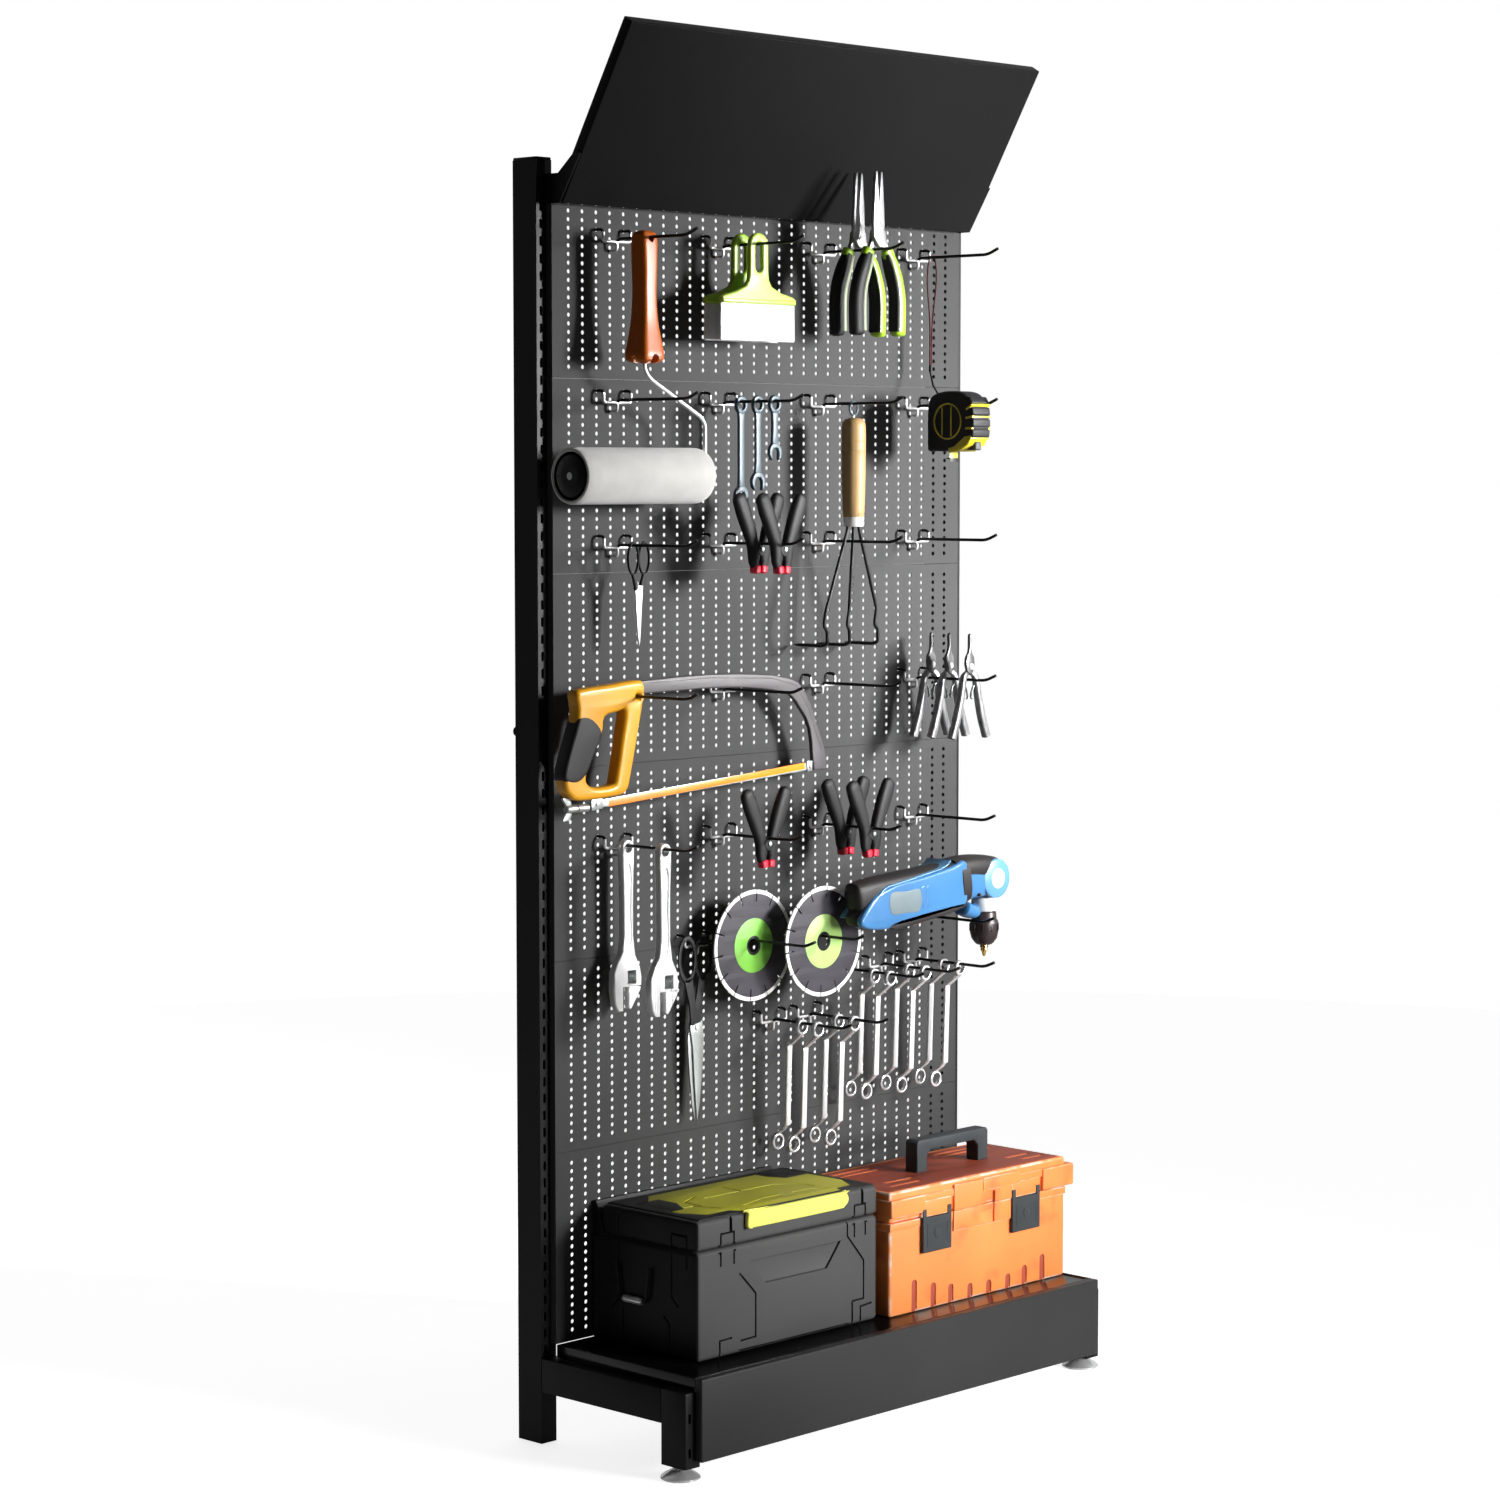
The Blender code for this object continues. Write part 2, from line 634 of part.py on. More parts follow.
def lanyard_route():
    """Half of the loop, on the left, mirrored about the line from ferrule to prong."""
    over = prong_z(0) + PRONG_WIRE + LANYARD_RADIUS + GAP
    half_widths = (
        (0.00, 0.0018), (0.10, 0.0018), (0.22, 0.0019), (0.34, 0.0024), (0.46, 0.0044), (0.58, 0.0074),
        (0.70, 0.0100), (0.80, 0.0108), (0.88, 0.0098), (0.94, 0.0078), (0.98, 0.0052),
    )
    prong_x = column_x(27)

    def place(share, offset):
        middle = FERRULE_X + (prong_x - FERRULE_X) * share
        return (middle + offset, LANYARD_Y, FERRULE_TOP + (over - FERRULE_TOP) * share)

    left = [place(share, -offset) for share, offset in half_widths]
    right = [place(share, offset) for share, offset in reversed(half_widths)]
    return left + [place(1.0, 0.0)] + right


def smooth(points, per_span):
    """A Catmull-Rom curve through the points, read per_span times in each stretch."""
    ends = [2 * Vector(points[0]) - Vector(points[1])]
    run = ends + [Vector(p) for p in points] + [2 * Vector(points[-1]) - Vector(points[-2])]
    made = []
    for a, b, c, d in zip(run, run[1:], run[2:], run[3:]):
        for step in range(per_span):
            t = step / per_span
            made.append(
                0.5 * (2 * b + (c - a) * t + (2 * a - 5 * b + 4 * c - d) * t**2 + (3 * b - a - 3 * c + d) * t**3)
            )
    return made + [Vector(points[-1])]


def make_tape_measure():
    (y0, y1), (z0, z1) = TAPE_Y, TAPE_Z
    r = 0.030
    outline = (
        [(y1, z0), (y1, z1 - 0.008), (y1 - 0.008, z1)]
        + arc(y0 + r, z1 - r, r, r, 90, 180, 5)
        + arc(y0 + r, z0 + r, r, r, 180, 260, 5)
    )
    case = as_mesh(plate("tape_case", [outline], 2 * TAPE_HALF, TAPE_X, across="X"))
    mouth_y = 0.010
    mouth = block(
        "tape_mouth", (TAPE_X - 0.0105, mouth_y - 0.0016, z0 - 0.01), (TAPE_X + 0.0105, mouth_y + 0.0016, z0 + 0.050)
    )
    lift = FERRULE_TOP - GAP
    stem = as_mesh(
        wire("tape_stem", [(TAPE_X, LANYARD_Y - 0.037, z1 - 0.006), (FERRULE_X, LANYARD_Y, FERRULE_TOP - 0.012)], 0.0013)
    )
    ferrule = block(
        "tape_ferrule",
        (FERRULE_X - 0.0040, LANYARD_Y - 0.0022, FERRULE_TOP - 0.014),
        (FERRULE_X + 0.0040, LANYARD_Y + 0.0022, lift),
    )
    show(cut(fuse(case, stem, ferrule), mouth), BLACK_PLASTIC)
    strip = block("tape_blade", (TAPE_X - 0.009, mouth_y - 0.0006, z0 - 0.012), (TAPE_X + 0.009, mouth_y + 0.0006, z0 + 0.046))
    hook = block("tape_end_hook", (TAPE_X - 0.011, mouth_y - 0.002, z0 - 0.016), (TAPE_X + 0.011, mouth_y + 0.010, z0 - 0.011))
    show(fuse(strip, hook), YELLOW_PLASTIC)
    show(wire("tape_lanyard", smooth(lanyard_route(), 2), LANYARD_RADIUS, resolution=2), DARK_CORD)


def make_hacksaw():
    y = PANEL_Y - 0.046
    z = prong_z(3)
    handle_outline = [
        (-0.457, z + 0.011), (-0.440, z + 0.016), (-0.333, z + 0.024), (-0.318, z + 0.003), (-0.354, z - 0.138),
        (-0.452, z - 0.147), (-0.478, z - 0.128), (-0.481, z - 0.102), (-0.473, z - 0.080), (-0.456, z - 0.040),
        (-0.452, z - 0.014),
    ]
    grip_hole = [
        (-0.357, z - 0.018), (-0.400, z - 0.026), (-0.404, z - 0.051), (-0.436, z - 0.108), (-0.420, z - 0.130),
        (-0.377, z - 0.126),
    ]
    hang_hole = ring(column_x(3), z, 0.0034, 0.0034, 10)
    show(plate("hacksaw_handle", [handle_outline, grip_hole, hang_hole], 0.026, y), YELLOW_PLASTIC)
    under = z + PRONG_WIRE + 0.0006
    frame_outline = [
        (-0.3305, z + 0.0215), (-0.238, z + 0.025), (-0.181, z + 0.026), (-0.039, z + 0.020), (0.018, z + 0.007),
        (0.047, z - 0.029), (0.078, z - 0.100), (0.084, z - 0.132), (0.0535, z - 0.132), (0.051, z - 0.110),
        (0.045, z - 0.068), (0.025, z - 0.037), (-0.003, z - 0.010), (-0.100, under), (-0.180, under + 0.002),
        (-0.3155, under),
    ]
    show(plate("hacksaw_frame", [frame_outline], 0.008, y), GREY_PAINT)
    left, right, half = (-0.419, 0.948), (0.052, 0.979), 0.0060
    blade_outline = [
        (left[0], left[1] - half), (right[0], right[1] - half), (right[0], right[1] + half), (left[0], left[1] + half)
    ]
    show(plate("hacksaw_blade", [blade_outline], 0.0016, y), BLADE_ORANGE)
    centre = (-0.447, y, 0.9455)
    barrel = drums("hacksaw_wing_nut", [centre], 0.0062, 0.044, (1, 0, 0))
    wing = [
        (-0.4640, 0.9630), (-0.4570, 0.9455), (-0.4640, 0.9280), (-0.4760, 0.9280), (-0.4670, 0.9455),
        (-0.4760, 0.9630),
    ]
    show(fuse(barrel, as_mesh(plate("wing_pair", [wing], 0.004, y))), STEEL)


def make_adjustable_wrench():
    x = column_x(3)
    y = PANEL_Y - 0.108
    hang = prong_z(4) - 0.0040
    head = hang - 0.190
    tail = arc(x, hang, 0.0125, 0.0125, 0, 180, 7)
    body = tail + [
        (x - 0.0125, hang - 0.030), (x - 0.010, head + 0.040), (x - 0.027, head + 0.012), (x - 0.027, head - 0.020),
        (x - 0.020, head - 0.052), (x - 0.011, head - 0.052), (x - 0.011, head - 0.016), (x + 0.022, head - 0.016),
        (x + 0.022, head + 0.012), (x + 0.010, head + 0.040), (x + 0.0125, hang - 0.030),
    ]
    show(plate("adjustable_wrench_body", [body, ring(x, hang, 0.0066, 0.0066, 12)], 0.012, y), STEEL)
    jaw = [
        (x + 0.0010, head - 0.0166), (x + 0.0010, head - 0.048), (x + 0.007, head - 0.050), (x + 0.018, head - 0.030),
        (x + 0.024, head - 0.0166),
    ]
    show(plate("adjustable_wrench_jaw", [jaw], 0.012, y), STEEL)


def make_large_scissors():
    """One lever: a finger loop on the left, crossing to a blade on the right."""
    x = column_x(9) - 0.0125
    y = PANEL_Y - 0.0235
    loop_x, loop_z = x - 0.0185, prong_z(5) + PRONG_WIRE - 0.0238
    pivot_z = loop_z - 0.105
    outline = arc(loop_x, loop_z, 0.0200, 0.0360, -60, 240, 13) + [
        (x - 0.0130, pivot_z + 0.030), (x - 0.0105, pivot_z - 0.006), (x - 0.0040, pivot_z - 0.030),
        (x + 0.0020, pivot_z - 0.145), (x + 0.0085, pivot_z - 0.080), (x + 0.0135, pivot_z - 0.020),
        (x + 0.0110, pivot_z + 0.010), (x - 0.0010, pivot_z + 0.036),
    ]
    loop_hole = arc(loop_x, loop_z, 0.0140, 0.0290, 0, 330, 12)
    names = ("scissors_lever_front", "scissors_lever_rear")
    thickness = 0.003
    front = as_mesh(plate(names[0], [outline, loop_hole], thickness, y - thickness / 2 - GAP / 2))
    rear_outlines = [mirrored(outline, x), mirrored(loop_hole, x)]
    rear = as_mesh(plate(names[1], rear_outlines, thickness, y + thickness / 2 + GAP / 2))
    pin = drums(names[0] + "_pin", [(x, y, pivot_z)], 0.003, 0.0082, (0, 1, 0), sides=10)
    hole = drums(names[1] + "_hole", [(x, y, pivot_z)], 0.0035, 0.03, (0, 1, 0), sides=10)
    show(fuse(front, pin), SATIN_STEEL)
    show(cut(rear, hole), SATIN_STEEL)


def make_cutting_disc(name, column, y):
    bore, radius, thick = 0.0111, 0.0855, 0.0024
    centre_z = prong_z(5) - (bore - PRONG_WIRE) + 0.0008
    profile = [(bore, thick), (radius, thick), (radius, 0), (bore, 0), (bore, thick)]
    disc = turned(name, profile, (column_x(column), y + thick / 2, centre_z), axis="Y", steps=32)
    show(disc, DISC_GREY)


DRILL_CHUCK_X = 0.366


def make_drill():
    y = PANEL_Y - 0.131
    outline = [
        (0.0479, 0.7353), (0.0520, 0.7300), (0.1396, 0.7224), (0.2300, 0.7335), (0.3020, 0.7330), (0.3180, 0.7228),
        (0.3450, 0.7228), (0.3480, 0.7325), (0.3840, 0.7326), (0.3890, 0.7550), (0.4000, 0.7680), (0.4040, 0.7830),
        (0.3980, 0.8020), (0.3750, 0.8200), (0.3000, 0.8245), (0.2664, 0.8156), (0.0500, 0.8050), (0.0430, 0.7980),
        (0.0428, 0.7420),
    ]
    body = plate("drill_body", [outline], 0.050, y)
    show(body, BLUE_PLASTIC)
    profile = [
        (0, 0), (0.0165, 0), (0.0165, -0.0125), (0.0235, -0.0165), (0.0235, -0.032), (0.0130, -0.050),
        (0.0050, -0.052), (0.0036, -0.056), (0.0036, -0.072), (0, -0.074),
    ]
    show(turned("drill_chuck", profile, (DRILL_CHUCK_X, y, 0.7325 - GAP), steps=20), BLACK_PLASTIC)


def make_spring_clamp():
    """One half: a handle above the pivot and a jaw below it, both on the left."""
    x = column_x(11)
    crotch = prong_z(4) - PRONG_WIRE - 0.0006
    pivot_z = crotch - 0.011
    half = [
        (x - 0.001, crotch), (x - 0.0105, crotch + 0.004), (x - 0.031, crotch + 0.050), (x - 0.037, crotch + 0.052),
        (x - 0.043, crotch + 0.046), (x - 0.024, crotch - 0.004), (x - 0.021, pivot_z - 0.012),
        (x - 0.020, pivot_z - 0.024), (x - 0.008, pivot_z - 0.038), (x - 0.0012, pivot_z - 0.038),
        (x - 0.0012, pivot_z - 0.034), (x - 0.008, pivot_z - 0.024), (x - 0.007, pivot_z - 0.012),
        (x + 0.006, pivot_z - 0.006), (x + 0.007, pivot_z + 0.004), (x + 0.001, pivot_z + 0.0095),
    ]
    pivot_pair(("clamp_half_front", "clamp_half_rear"), half, x, pivot_z, PANEL_Y - 0.105, 0.008, 0.0025, BLACK_PLASTIC)


def main():
    for side, label in ((-1, "left"), (1, "right")):
        make_side(side, label)
    make_kick_plate()
    make_deck()
    for panel in range(PANELS):
        make_panel(panel)
    make_header()
    for index in range(len(HOOK_ROWS)):
        make_hook_row(index)
    make_black_box()
    make_orange_box()
    make_paint_roller()
    make_scraper("scraper_front", PANEL_Y - 0.087)
    make_scraper("scraper_rear", PANEL_Y - 0.053)
    make_needle_nose_pliers()
    make_tape_measure()
    make_hacksaw()
    make_adjustable_wrench()
    make_large_scissors()
    make_cutting_disc("cutting_disc_left", 12, PANEL_Y - 0.051)
    make_cutting_disc("cutting_disc_right", 16, PANEL_Y - 0.094)
    make_drill()
    make_spring_clamp()


main()
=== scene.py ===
"""Pegboard tool wall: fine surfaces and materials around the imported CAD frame."""
import math

import bmesh
import bpy
from mathutils import Matrix, Vector


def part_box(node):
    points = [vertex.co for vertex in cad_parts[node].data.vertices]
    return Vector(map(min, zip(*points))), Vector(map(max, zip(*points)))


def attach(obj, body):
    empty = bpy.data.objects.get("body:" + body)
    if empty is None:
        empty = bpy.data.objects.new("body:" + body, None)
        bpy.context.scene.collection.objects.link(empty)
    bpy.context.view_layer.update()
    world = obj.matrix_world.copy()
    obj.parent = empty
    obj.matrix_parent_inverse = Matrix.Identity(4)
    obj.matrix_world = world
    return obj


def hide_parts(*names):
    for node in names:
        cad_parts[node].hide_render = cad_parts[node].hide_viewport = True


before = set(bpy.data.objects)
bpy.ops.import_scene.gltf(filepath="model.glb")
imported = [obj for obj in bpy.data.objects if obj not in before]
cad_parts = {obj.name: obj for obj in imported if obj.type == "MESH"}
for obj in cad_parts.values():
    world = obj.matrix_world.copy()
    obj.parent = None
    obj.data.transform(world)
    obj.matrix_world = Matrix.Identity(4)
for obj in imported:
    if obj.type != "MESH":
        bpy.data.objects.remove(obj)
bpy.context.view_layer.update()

# ---------------------------------------------------------------- sizes, in metres

PITCH_X = 0.02772
PITCH_Z = 0.0125
COLUMNS, ROWS, MIDDLE_COLUMN = 31, 21, 15
PANEL_PITCH = 0.28408
TOP_ROW_Z = 1.8354
HOLE = 0.0033
SHEET = 0.0015

panel_low, panel_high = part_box("back_panel_1")
PANEL_Y = panel_low.y
HALF = panel_high.x

HOOK_DRAWN, PRONG_WIRE, PRONG_DRAWN = 0.0023, 0.00225, 0.0024
HOOK_STAND, HOOK_RISE, PRONG_RISE = 0.0145, 0.017, 0.0038
PRONG_REACH, PRONG_TIP = 0.16, (0.0205, 0.0085)
SHORT_HOOK, SHORT_REACH, SHORT_TIP = (5, 8), 0.03, (0.014, 0.006)
HOOK_TAIL = 0.0125
HOOK_ROWS = (
    (0, 4, (2, 10, 18, 26)), (1, 0, (2, 10, 18, 26)), (1, 17, (2, 10, 18, 26)), (2, 12, (2, 10, 18, 26)),
    (3, 7, (2, 10, 18, 26)), (3, 20, (8, 11, 15, 26)), (4, 3, (20, 23, 26)), (4, 8, (14, 17)),
)


def column_x(column):
    """Where a column of holes stands."""
    return (column - MIDDLE_COLUMN) * PITCH_X


def hole_z(panel, row):
    """The height of a row of holes, counted down from the top of a panel."""
    return TOP_ROW_Z - panel * PANEL_PITCH - row * PITCH_Z


def prong_z(hook_row):
    """The height of the middle of a hook row's prongs."""
    panel, row, _ = HOOK_ROWS[hook_row]
    return hole_z(panel, row) - HOOK_RISE + PRONG_RISE


# ---------------------------------------------------------------- camera and light

CAMERA_AT = (-4.04436, -3.75498, 1.43355)
CAMERA_AZIMUTH, CAMERA_ELEVATION = 45.955, -4.387
CAMERA_LENS = 87.15
WORLD_DARK, WORLD_BRIGHT, WORLD_BRIGHT_SIDE = 0.03, 0.55, (0.72, 0.69, 0.0)
FLOOR_GLOW, FLOOR_SEEN_GLOW = 0.1, 0.8


def make_camera():
    """The camera, in front and to the left."""
    data = bpy.data.cameras.new("camera")
    data.lens = CAMERA_LENS
    data.sensor_width = 36
    data.clip_end = 50
    camera = bpy.data.objects.new("camera", data)
    camera.location = CAMERA_AT
    camera.rotation_euler = (math.radians(90 + CAMERA_ELEVATION), 0, math.radians(-CAMERA_AZIMUTH))
    bpy.context.scene.collection.objects.link(camera)
    bpy.context.scene.camera = camera


def area_light(name, place, target, size, power, spread=180.0):
    """A rectangular lamp at a place, turned to its target."""
    data = bpy.data.lights.new(name, "AREA")
    data.shape = "RECTANGLE"
    data.size, data.size_y = size
    data.energy = power
    data.spread = math.radians(spread)
    light = bpy.data.objects.new(name, data)
    light.location = place
    light.rotation_euler = (Vector(target) - Vector(place)).to_track_quat("-Z", "Y").to_euler()
    bpy.context.scene.collection.objects.link(light)


def add_node(tree, kind, **values):
    """A shader node with some of its inputs set; an underscore stands for the space in an input's name."""
    node = tree.nodes.new("ShaderNode" + kind)
    for field, value in values.items():
        node.inputs[field.replace("_", " ")].default_value = value
    return node


def make_world():
    """Light that is brighter from one side, which the camera itself sees as plain white."""
    world = bpy.data.worlds.new("studio")
    bpy.context.scene.world = world
    world.use_nodes = True
    tree = world.node_tree
    way, seen = add_node(tree, "TexCoord"), add_node(tree, "LightPath")
    facing = tree.nodes.new("ShaderNodeVectorMath")
    facing.operation = "DOT_PRODUCT"
    facing.inputs[1].default_value = WORLD_BRIGHT_SIDE
    level = add_node(tree, "MapRange", From_Min=-0.1, From_Max=0.7, To_Min=WORLD_DARK, To_Max=WORLD_BRIGHT)
    level.interpolation_type = "SMOOTHSTEP"
    pick = add_node(tree, "Mix", B=1.0)
    background = tree.nodes["Background"]
    background.inputs["Color"].default_value = (1, 1, 1, 1)
    tree.links.new(way.outputs["Generated"], facing.inputs[0])
    tree.links.new(facing.outputs["Value"], level.inputs["Value"])
    tree.links.new(seen.outputs["Is Camera Ray"], pick.inputs["Factor"])
    tree.links.new(level.outputs["Result"], pick.inputs["A"])
    tree.links.new(pick.outputs["Result"], background.inputs["Strength"])


def make_studio():
    """The world, three soft lamps and a pale floor."""
    make_world()
    area_light("key", (1.45, -2.3, 1.75), (0.46, 0.12, 1.36), (0.6, 0.6), 27, 52)
    area_light("fill", (0.7, -2.9, 0.9), (0.16, -0.1, 0.22), (0.9, 0.6), 9, 50)
    area_light("top", (0.6, -2.0, 3.9), (0, 0, 0.9), (2.0, 1.2), 5)
    bpy.context.scene.view_settings.view_transform = "Standard"
    bpy.ops.mesh.primitive_circle_add(vertices=96, radius=4.5, fill_type="NGON", location=(0, 0, -0.0005))
    floor = bpy.context.object
    floor.name = "floor"
    made = bpy.data.materials.new("floor_paint")
    made.use_nodes = True
    tree = made.node_tree
    shader = tree.nodes["Principled BSDF"]
    for field, value in (
        ("Base Color", (0.8, 0.8, 0.8, 1)), ("Roughness", 0.6), ("Specular IOR Level", 0.1),
        ("Emission Color", (1, 1, 1, 1)),
    ):
        shader.inputs[field].default_value = value
    glow = add_node(tree, "MapRange", To_Min=FLOOR_GLOW, To_Max=FLOOR_SEEN_GLOW)
    tree.links.new(add_node(tree, "LightPath").outputs["Is Camera Ray"], glow.inputs["Value"])
    tree.links.new(glow.outputs["Result"], shader.inputs["Emission Strength"])
    floor.data.materials.append(made)


# ---------------------------------------------------------------- materials

def mixed(tree, factor, first, second):
    """The colour between a socket's and a fixed one, by a factor."""
    node = tree.nodes.new("ShaderNodeMix")
    node.data_type = "RGBA"
    tree.links.new(factor, node.inputs["Factor"])
    tree.links.new(first, node.inputs["A"])
    node.inputs["B"].default_value = (*second, 1)
    return node.outputs["Result"]


def surface(
    name, colour, roughness, metallic=0.0, patch=5.0, vary=0.12, grain=700.0, bump=0.15, depth=0.0003,
    stretch=(1, 1, 1), spread=0.08, coat=0.0, sheen=0.0, dirt=None, dirt_scale=9.0, dirt_from=0.56, specular=0.5,
):
    """A solid finish: cloudy colour, fine grain, and where asked for dirt or wear in patches."""
    made = bpy.data.materials.new(name)
    made.use_nodes = True
    tree = made.node_tree
    link = tree.links.new
    shader = tree.nodes["Principled BSDF"]
    for field, value in (
        ("Metallic", metallic), ("Coat Weight", coat), ("Coat Roughness", 0.12), ("Sheen Weight", sheen),
        ("Specular IOR Level", specular),
    ):
        shader.inputs[field].default_value = value
    scaled = add_node(tree, "Mapping", Scale=stretch)
    link(add_node(tree, "TexCoord").outputs["Object"], scaled.inputs["Vector"])

    def noise(scale, detail):
        node = add_node(tree, "TexNoise", Scale=scale, Detail=detail)
        link(scaled.outputs["Vector"], node.inputs["Vector"])
        return node.outputs["Fac"]

    def ramp(source, low, high, first, last):
        node = tree.nodes.new("ShaderNodeValToRGB")
        for stop, place, tone in zip(node.color_ramp.elements, (low, high), (first, last)):
            stop.position = place
            stop.color = (*tone, 1)
        link(source, node.inputs["Fac"])
        return node.outputs["Color"]

    clouds = noise(patch, 5)
    tint = ramp(clouds, 0.32, 0.68, [c * (1 - vary) for c in colour], [min(1, c * (1 + vary)) for c in colour])
    if dirt:
        patches = ramp(noise(dirt_scale, 8), dirt_from, dirt_from + 0.16, (0, 0, 0), (0.75, 0.75, 0.75))
        tint = mixed(tree, patches, tint, dirt)
    link(tint, shader.inputs["Base Color"])
    rough = add_node(tree, "MapRange", To_Min=max(0.02, roughness - spread), To_Max=min(1, roughness + spread))
    link(clouds, rough.inputs["Value"])
    link(rough.outputs["Result"], shader.inputs["Roughness"])
    relief = add_node(tree, "Bump", Strength=bump, Distance=depth)
    link(noise(grain, 3), relief.inputs["Height"])
    link(relief.outputs["Normal"], shader.inputs["Normal"])
    return made


def wood(name, pale, dark):
    """Lathe-turned beech: growth rings as long bands, with short flecks."""
    made = surface(name, pale, 0.5, stretch=(1, 1, 0.06), patch=140, vary=0.1, grain=900, bump=0.2, spread=0.06)
    tree = made.node_tree
    colour = tree.nodes["Principled BSDF"].inputs["Base Color"]
    bands = add_node(tree, "TexWave", Scale=55, Distortion=3.5, Detail=3)
    source = next(node for node in tree.nodes if node.type == "MAPPING")
    tree.links.new(source.outputs["Vector"], bands.inputs["Vector"])
    soft = add_node(tree, "MapRange", To_Max=0.4)
    tree.links.new(bands.outputs["Fac"], soft.inputs["Value"])
    tree.links.new(mixed(tree, soft.outputs["Result"], colour.links[0].from_socket, dark), colour)
    return made


BLACK_COAT = surface(
    "black_powder_coat", (0.0042, 0.0042, 0.0045), 0.42, grain=1500, bump=0.25, vary=0.15, specular=0.22,
)
PANEL_COAT = surface(
    "panel_coat", (0.046, 0.046, 0.0465), 0.55, patch=2.2, vary=0.14, grain=1100, bump=0.3, specular=0.08,
)
HEADER_COAT = surface(
    "header_coat", (0.0072, 0.0072, 0.0076), 0.5, patch=1.6, vary=0.16, grain=1300, bump=0.22, specular=0.1,
)
KICK_COAT = surface(
    "kick_coat", (0.026, 0.026, 0.027), 0.42, patch=1.8, vary=0.2, grain=1300, bump=0.2, specular=0.3,
)
DECK_COAT = surface("deck_gloss_coat", (0.006, 0.006, 0.007), 0.16, patch=3, grain=900, bump=0.05, spread=0.05)
CHROME = surface("chrome_wire", (0.88, 0.88, 0.89), 0.2, 0.6, grain=300, bump=0.02, vary=0.03, spread=0.04)
DARK_WIRE = surface("dark_wire", (0.01, 0.01, 0.011), 0.3, 0.2, grain=400, bump=0.05, specular=0.3)
WHITE_WIRE = surface("white_zinc_wire", (0.8, 0.8, 0.8), 0.28, 0.35, grain=400, bump=0.08, vary=0.05)
# Painted glare: the black box is black plastic, and this lighter grey stands for the key light's glare on its front
# and on every face not turned along X.
BOX_GLARE_GREY = surface("toolbox_glare_grey", (0.06, 0.06, 0.06), 0.6, patch=4, vary=0.1, grain=1600, bump=0.35, specular=0.3)
BOX_BLACK = surface(
    "toolbox_black", (0.0065, 0.0065, 0.0065), 0.5, patch=6, vary=0.2, grain=1400, bump=0.3, specular=0.25,
)
BOX_YELLOW = surface("toolbox_yellow", (0.42, 0.4, 0.018), 0.5, patch=7, vary=0.16, grain=1200, bump=0.25)
LATCH_YELLOW = surface("latch_yellow", (0.8, 0.79, 0.14), 0.38, patch=8, vary=0.08, grain=1200, bump=0.15)
BOX_ORANGE = surface(
    "toolbox_orange", (0.86, 0.235, 0.052), 0.52, patch=7, vary=0.1, grain=900, bump=0.3, dirt=(0.5, 0.1, 0.03),
    dirt_scale=13, dirt_from=0.55,
)
WORN_ORANGE = surface(
    "toolbox_orange_edge", (0.84, 0.28, 0.09), 0.6, patch=9, vary=0.1, grain=700, bump=0.5, dirt=(0.8, 0.66, 0.58),
    dirt_scale=30, dirt_from=0.45,
)
LID_RED = surface(
    "toolbox_lid_top", (0.3, 0.045, 0.015), 0.55, patch=6, vary=0.22, grain=900, bump=0.35, stretch=(0.35, 1.6, 1),
    dirt=(0.1, 0.02, 0.01), dirt_scale=16, dirt_from=0.54,
)
# Painted shade: the darker red laid on the floors of the orange tub's rib recesses.
RECESS_SHADE_RED = surface("toolbox_recess_shade", (0.36, 0.055, 0.025), 0.6, patch=12, vary=0.15, grain=700)
SLATE = surface(
    "slate_plastic", (0.034, 0.04, 0.043), 0.55, patch=14, vary=0.16, grain=1000, bump=0.35, specular=0.3,
)
LIME = surface("lime_plastic", (0.4, 0.58, 0.085), 0.34, patch=10, vary=0.06, grain=1200, bump=0.08)
LIME_DEEP = surface("lime_grip", (0.27, 0.46, 0.018), 0.3, patch=18, vary=0.08, grain=900, bump=0.08, coat=0.2)
GRIP_BLACK = surface(
    "grip_black", (0.008, 0.008, 0.009), 0.55, patch=20, vary=0.25, grain=700, bump=0.5, specular=0.3,
)
GRIP_GREY = surface("grip_grey", (0.055, 0.056, 0.058), 0.6, patch=18, vary=0.2, grain=600, bump=0.5)
BLADE = surface(
    "scraper_blade", (0.6, 0.6, 0.61), 0.32, 0.2, stretch=(8, 1, 0.25), patch=20, vary=0.05, grain=260, bump=0.06,
)
BRUSHED = surface(
    "brushed_steel", (0.8, 0.8, 0.8), 0.3, 0.4, stretch=(3, 3, 0.3), patch=30, vary=0.08, grain=500, bump=0.06,
)
SATIN = surface(
    "satin_steel", (0.36, 0.38, 0.37), 0.38, 0.7, stretch=(3, 3, 0.3), patch=30, vary=0.08, grain=400, bump=0.08,
)
JAW_STEEL = surface(
    "jaw_steel", (0.42, 0.42, 0.43), 0.28, 0.6, stretch=(3, 3, 0.3), patch=40, vary=0.12, grain=500, bump=0.05,
)
SNIP_STEEL = surface(
    "snip_steel", (0.26, 0.26, 0.265), 0.3, 0.6, stretch=(3, 3, 0.4), patch=60, vary=0.3, grain=400, bump=0.08,
)
CAST_STEEL = surface("worn_steel", (0.14, 0.14, 0.14), 0.36, 0.8, patch=40, vary=0.25, grain=300, bump=0.3)
ROLLER_ORANGE = surface("roller_orange", (0.5, 0.105, 0.002), 0.36, patch=9, vary=0.08, grain=900, bump=0.08)
FLEECE = surface(
    "roller_fleece", (0.56, 0.55, 0.525), 0.95, patch=30, vary=0.07, grain=1300, bump=1.0, depth=0.0012, sheen=0.6,
)
SAW_YELLOW = surface("saw_yellow", (0.66, 0.3, 0.005), 0.34, patch=12, vary=0.09, grain=900, bump=0.1)
SAW_ORANGE = surface("saw_blade_paint", (0.8, 0.21, 0.0), 0.4, patch=14, vary=0.08, grain=700, bump=0.1)
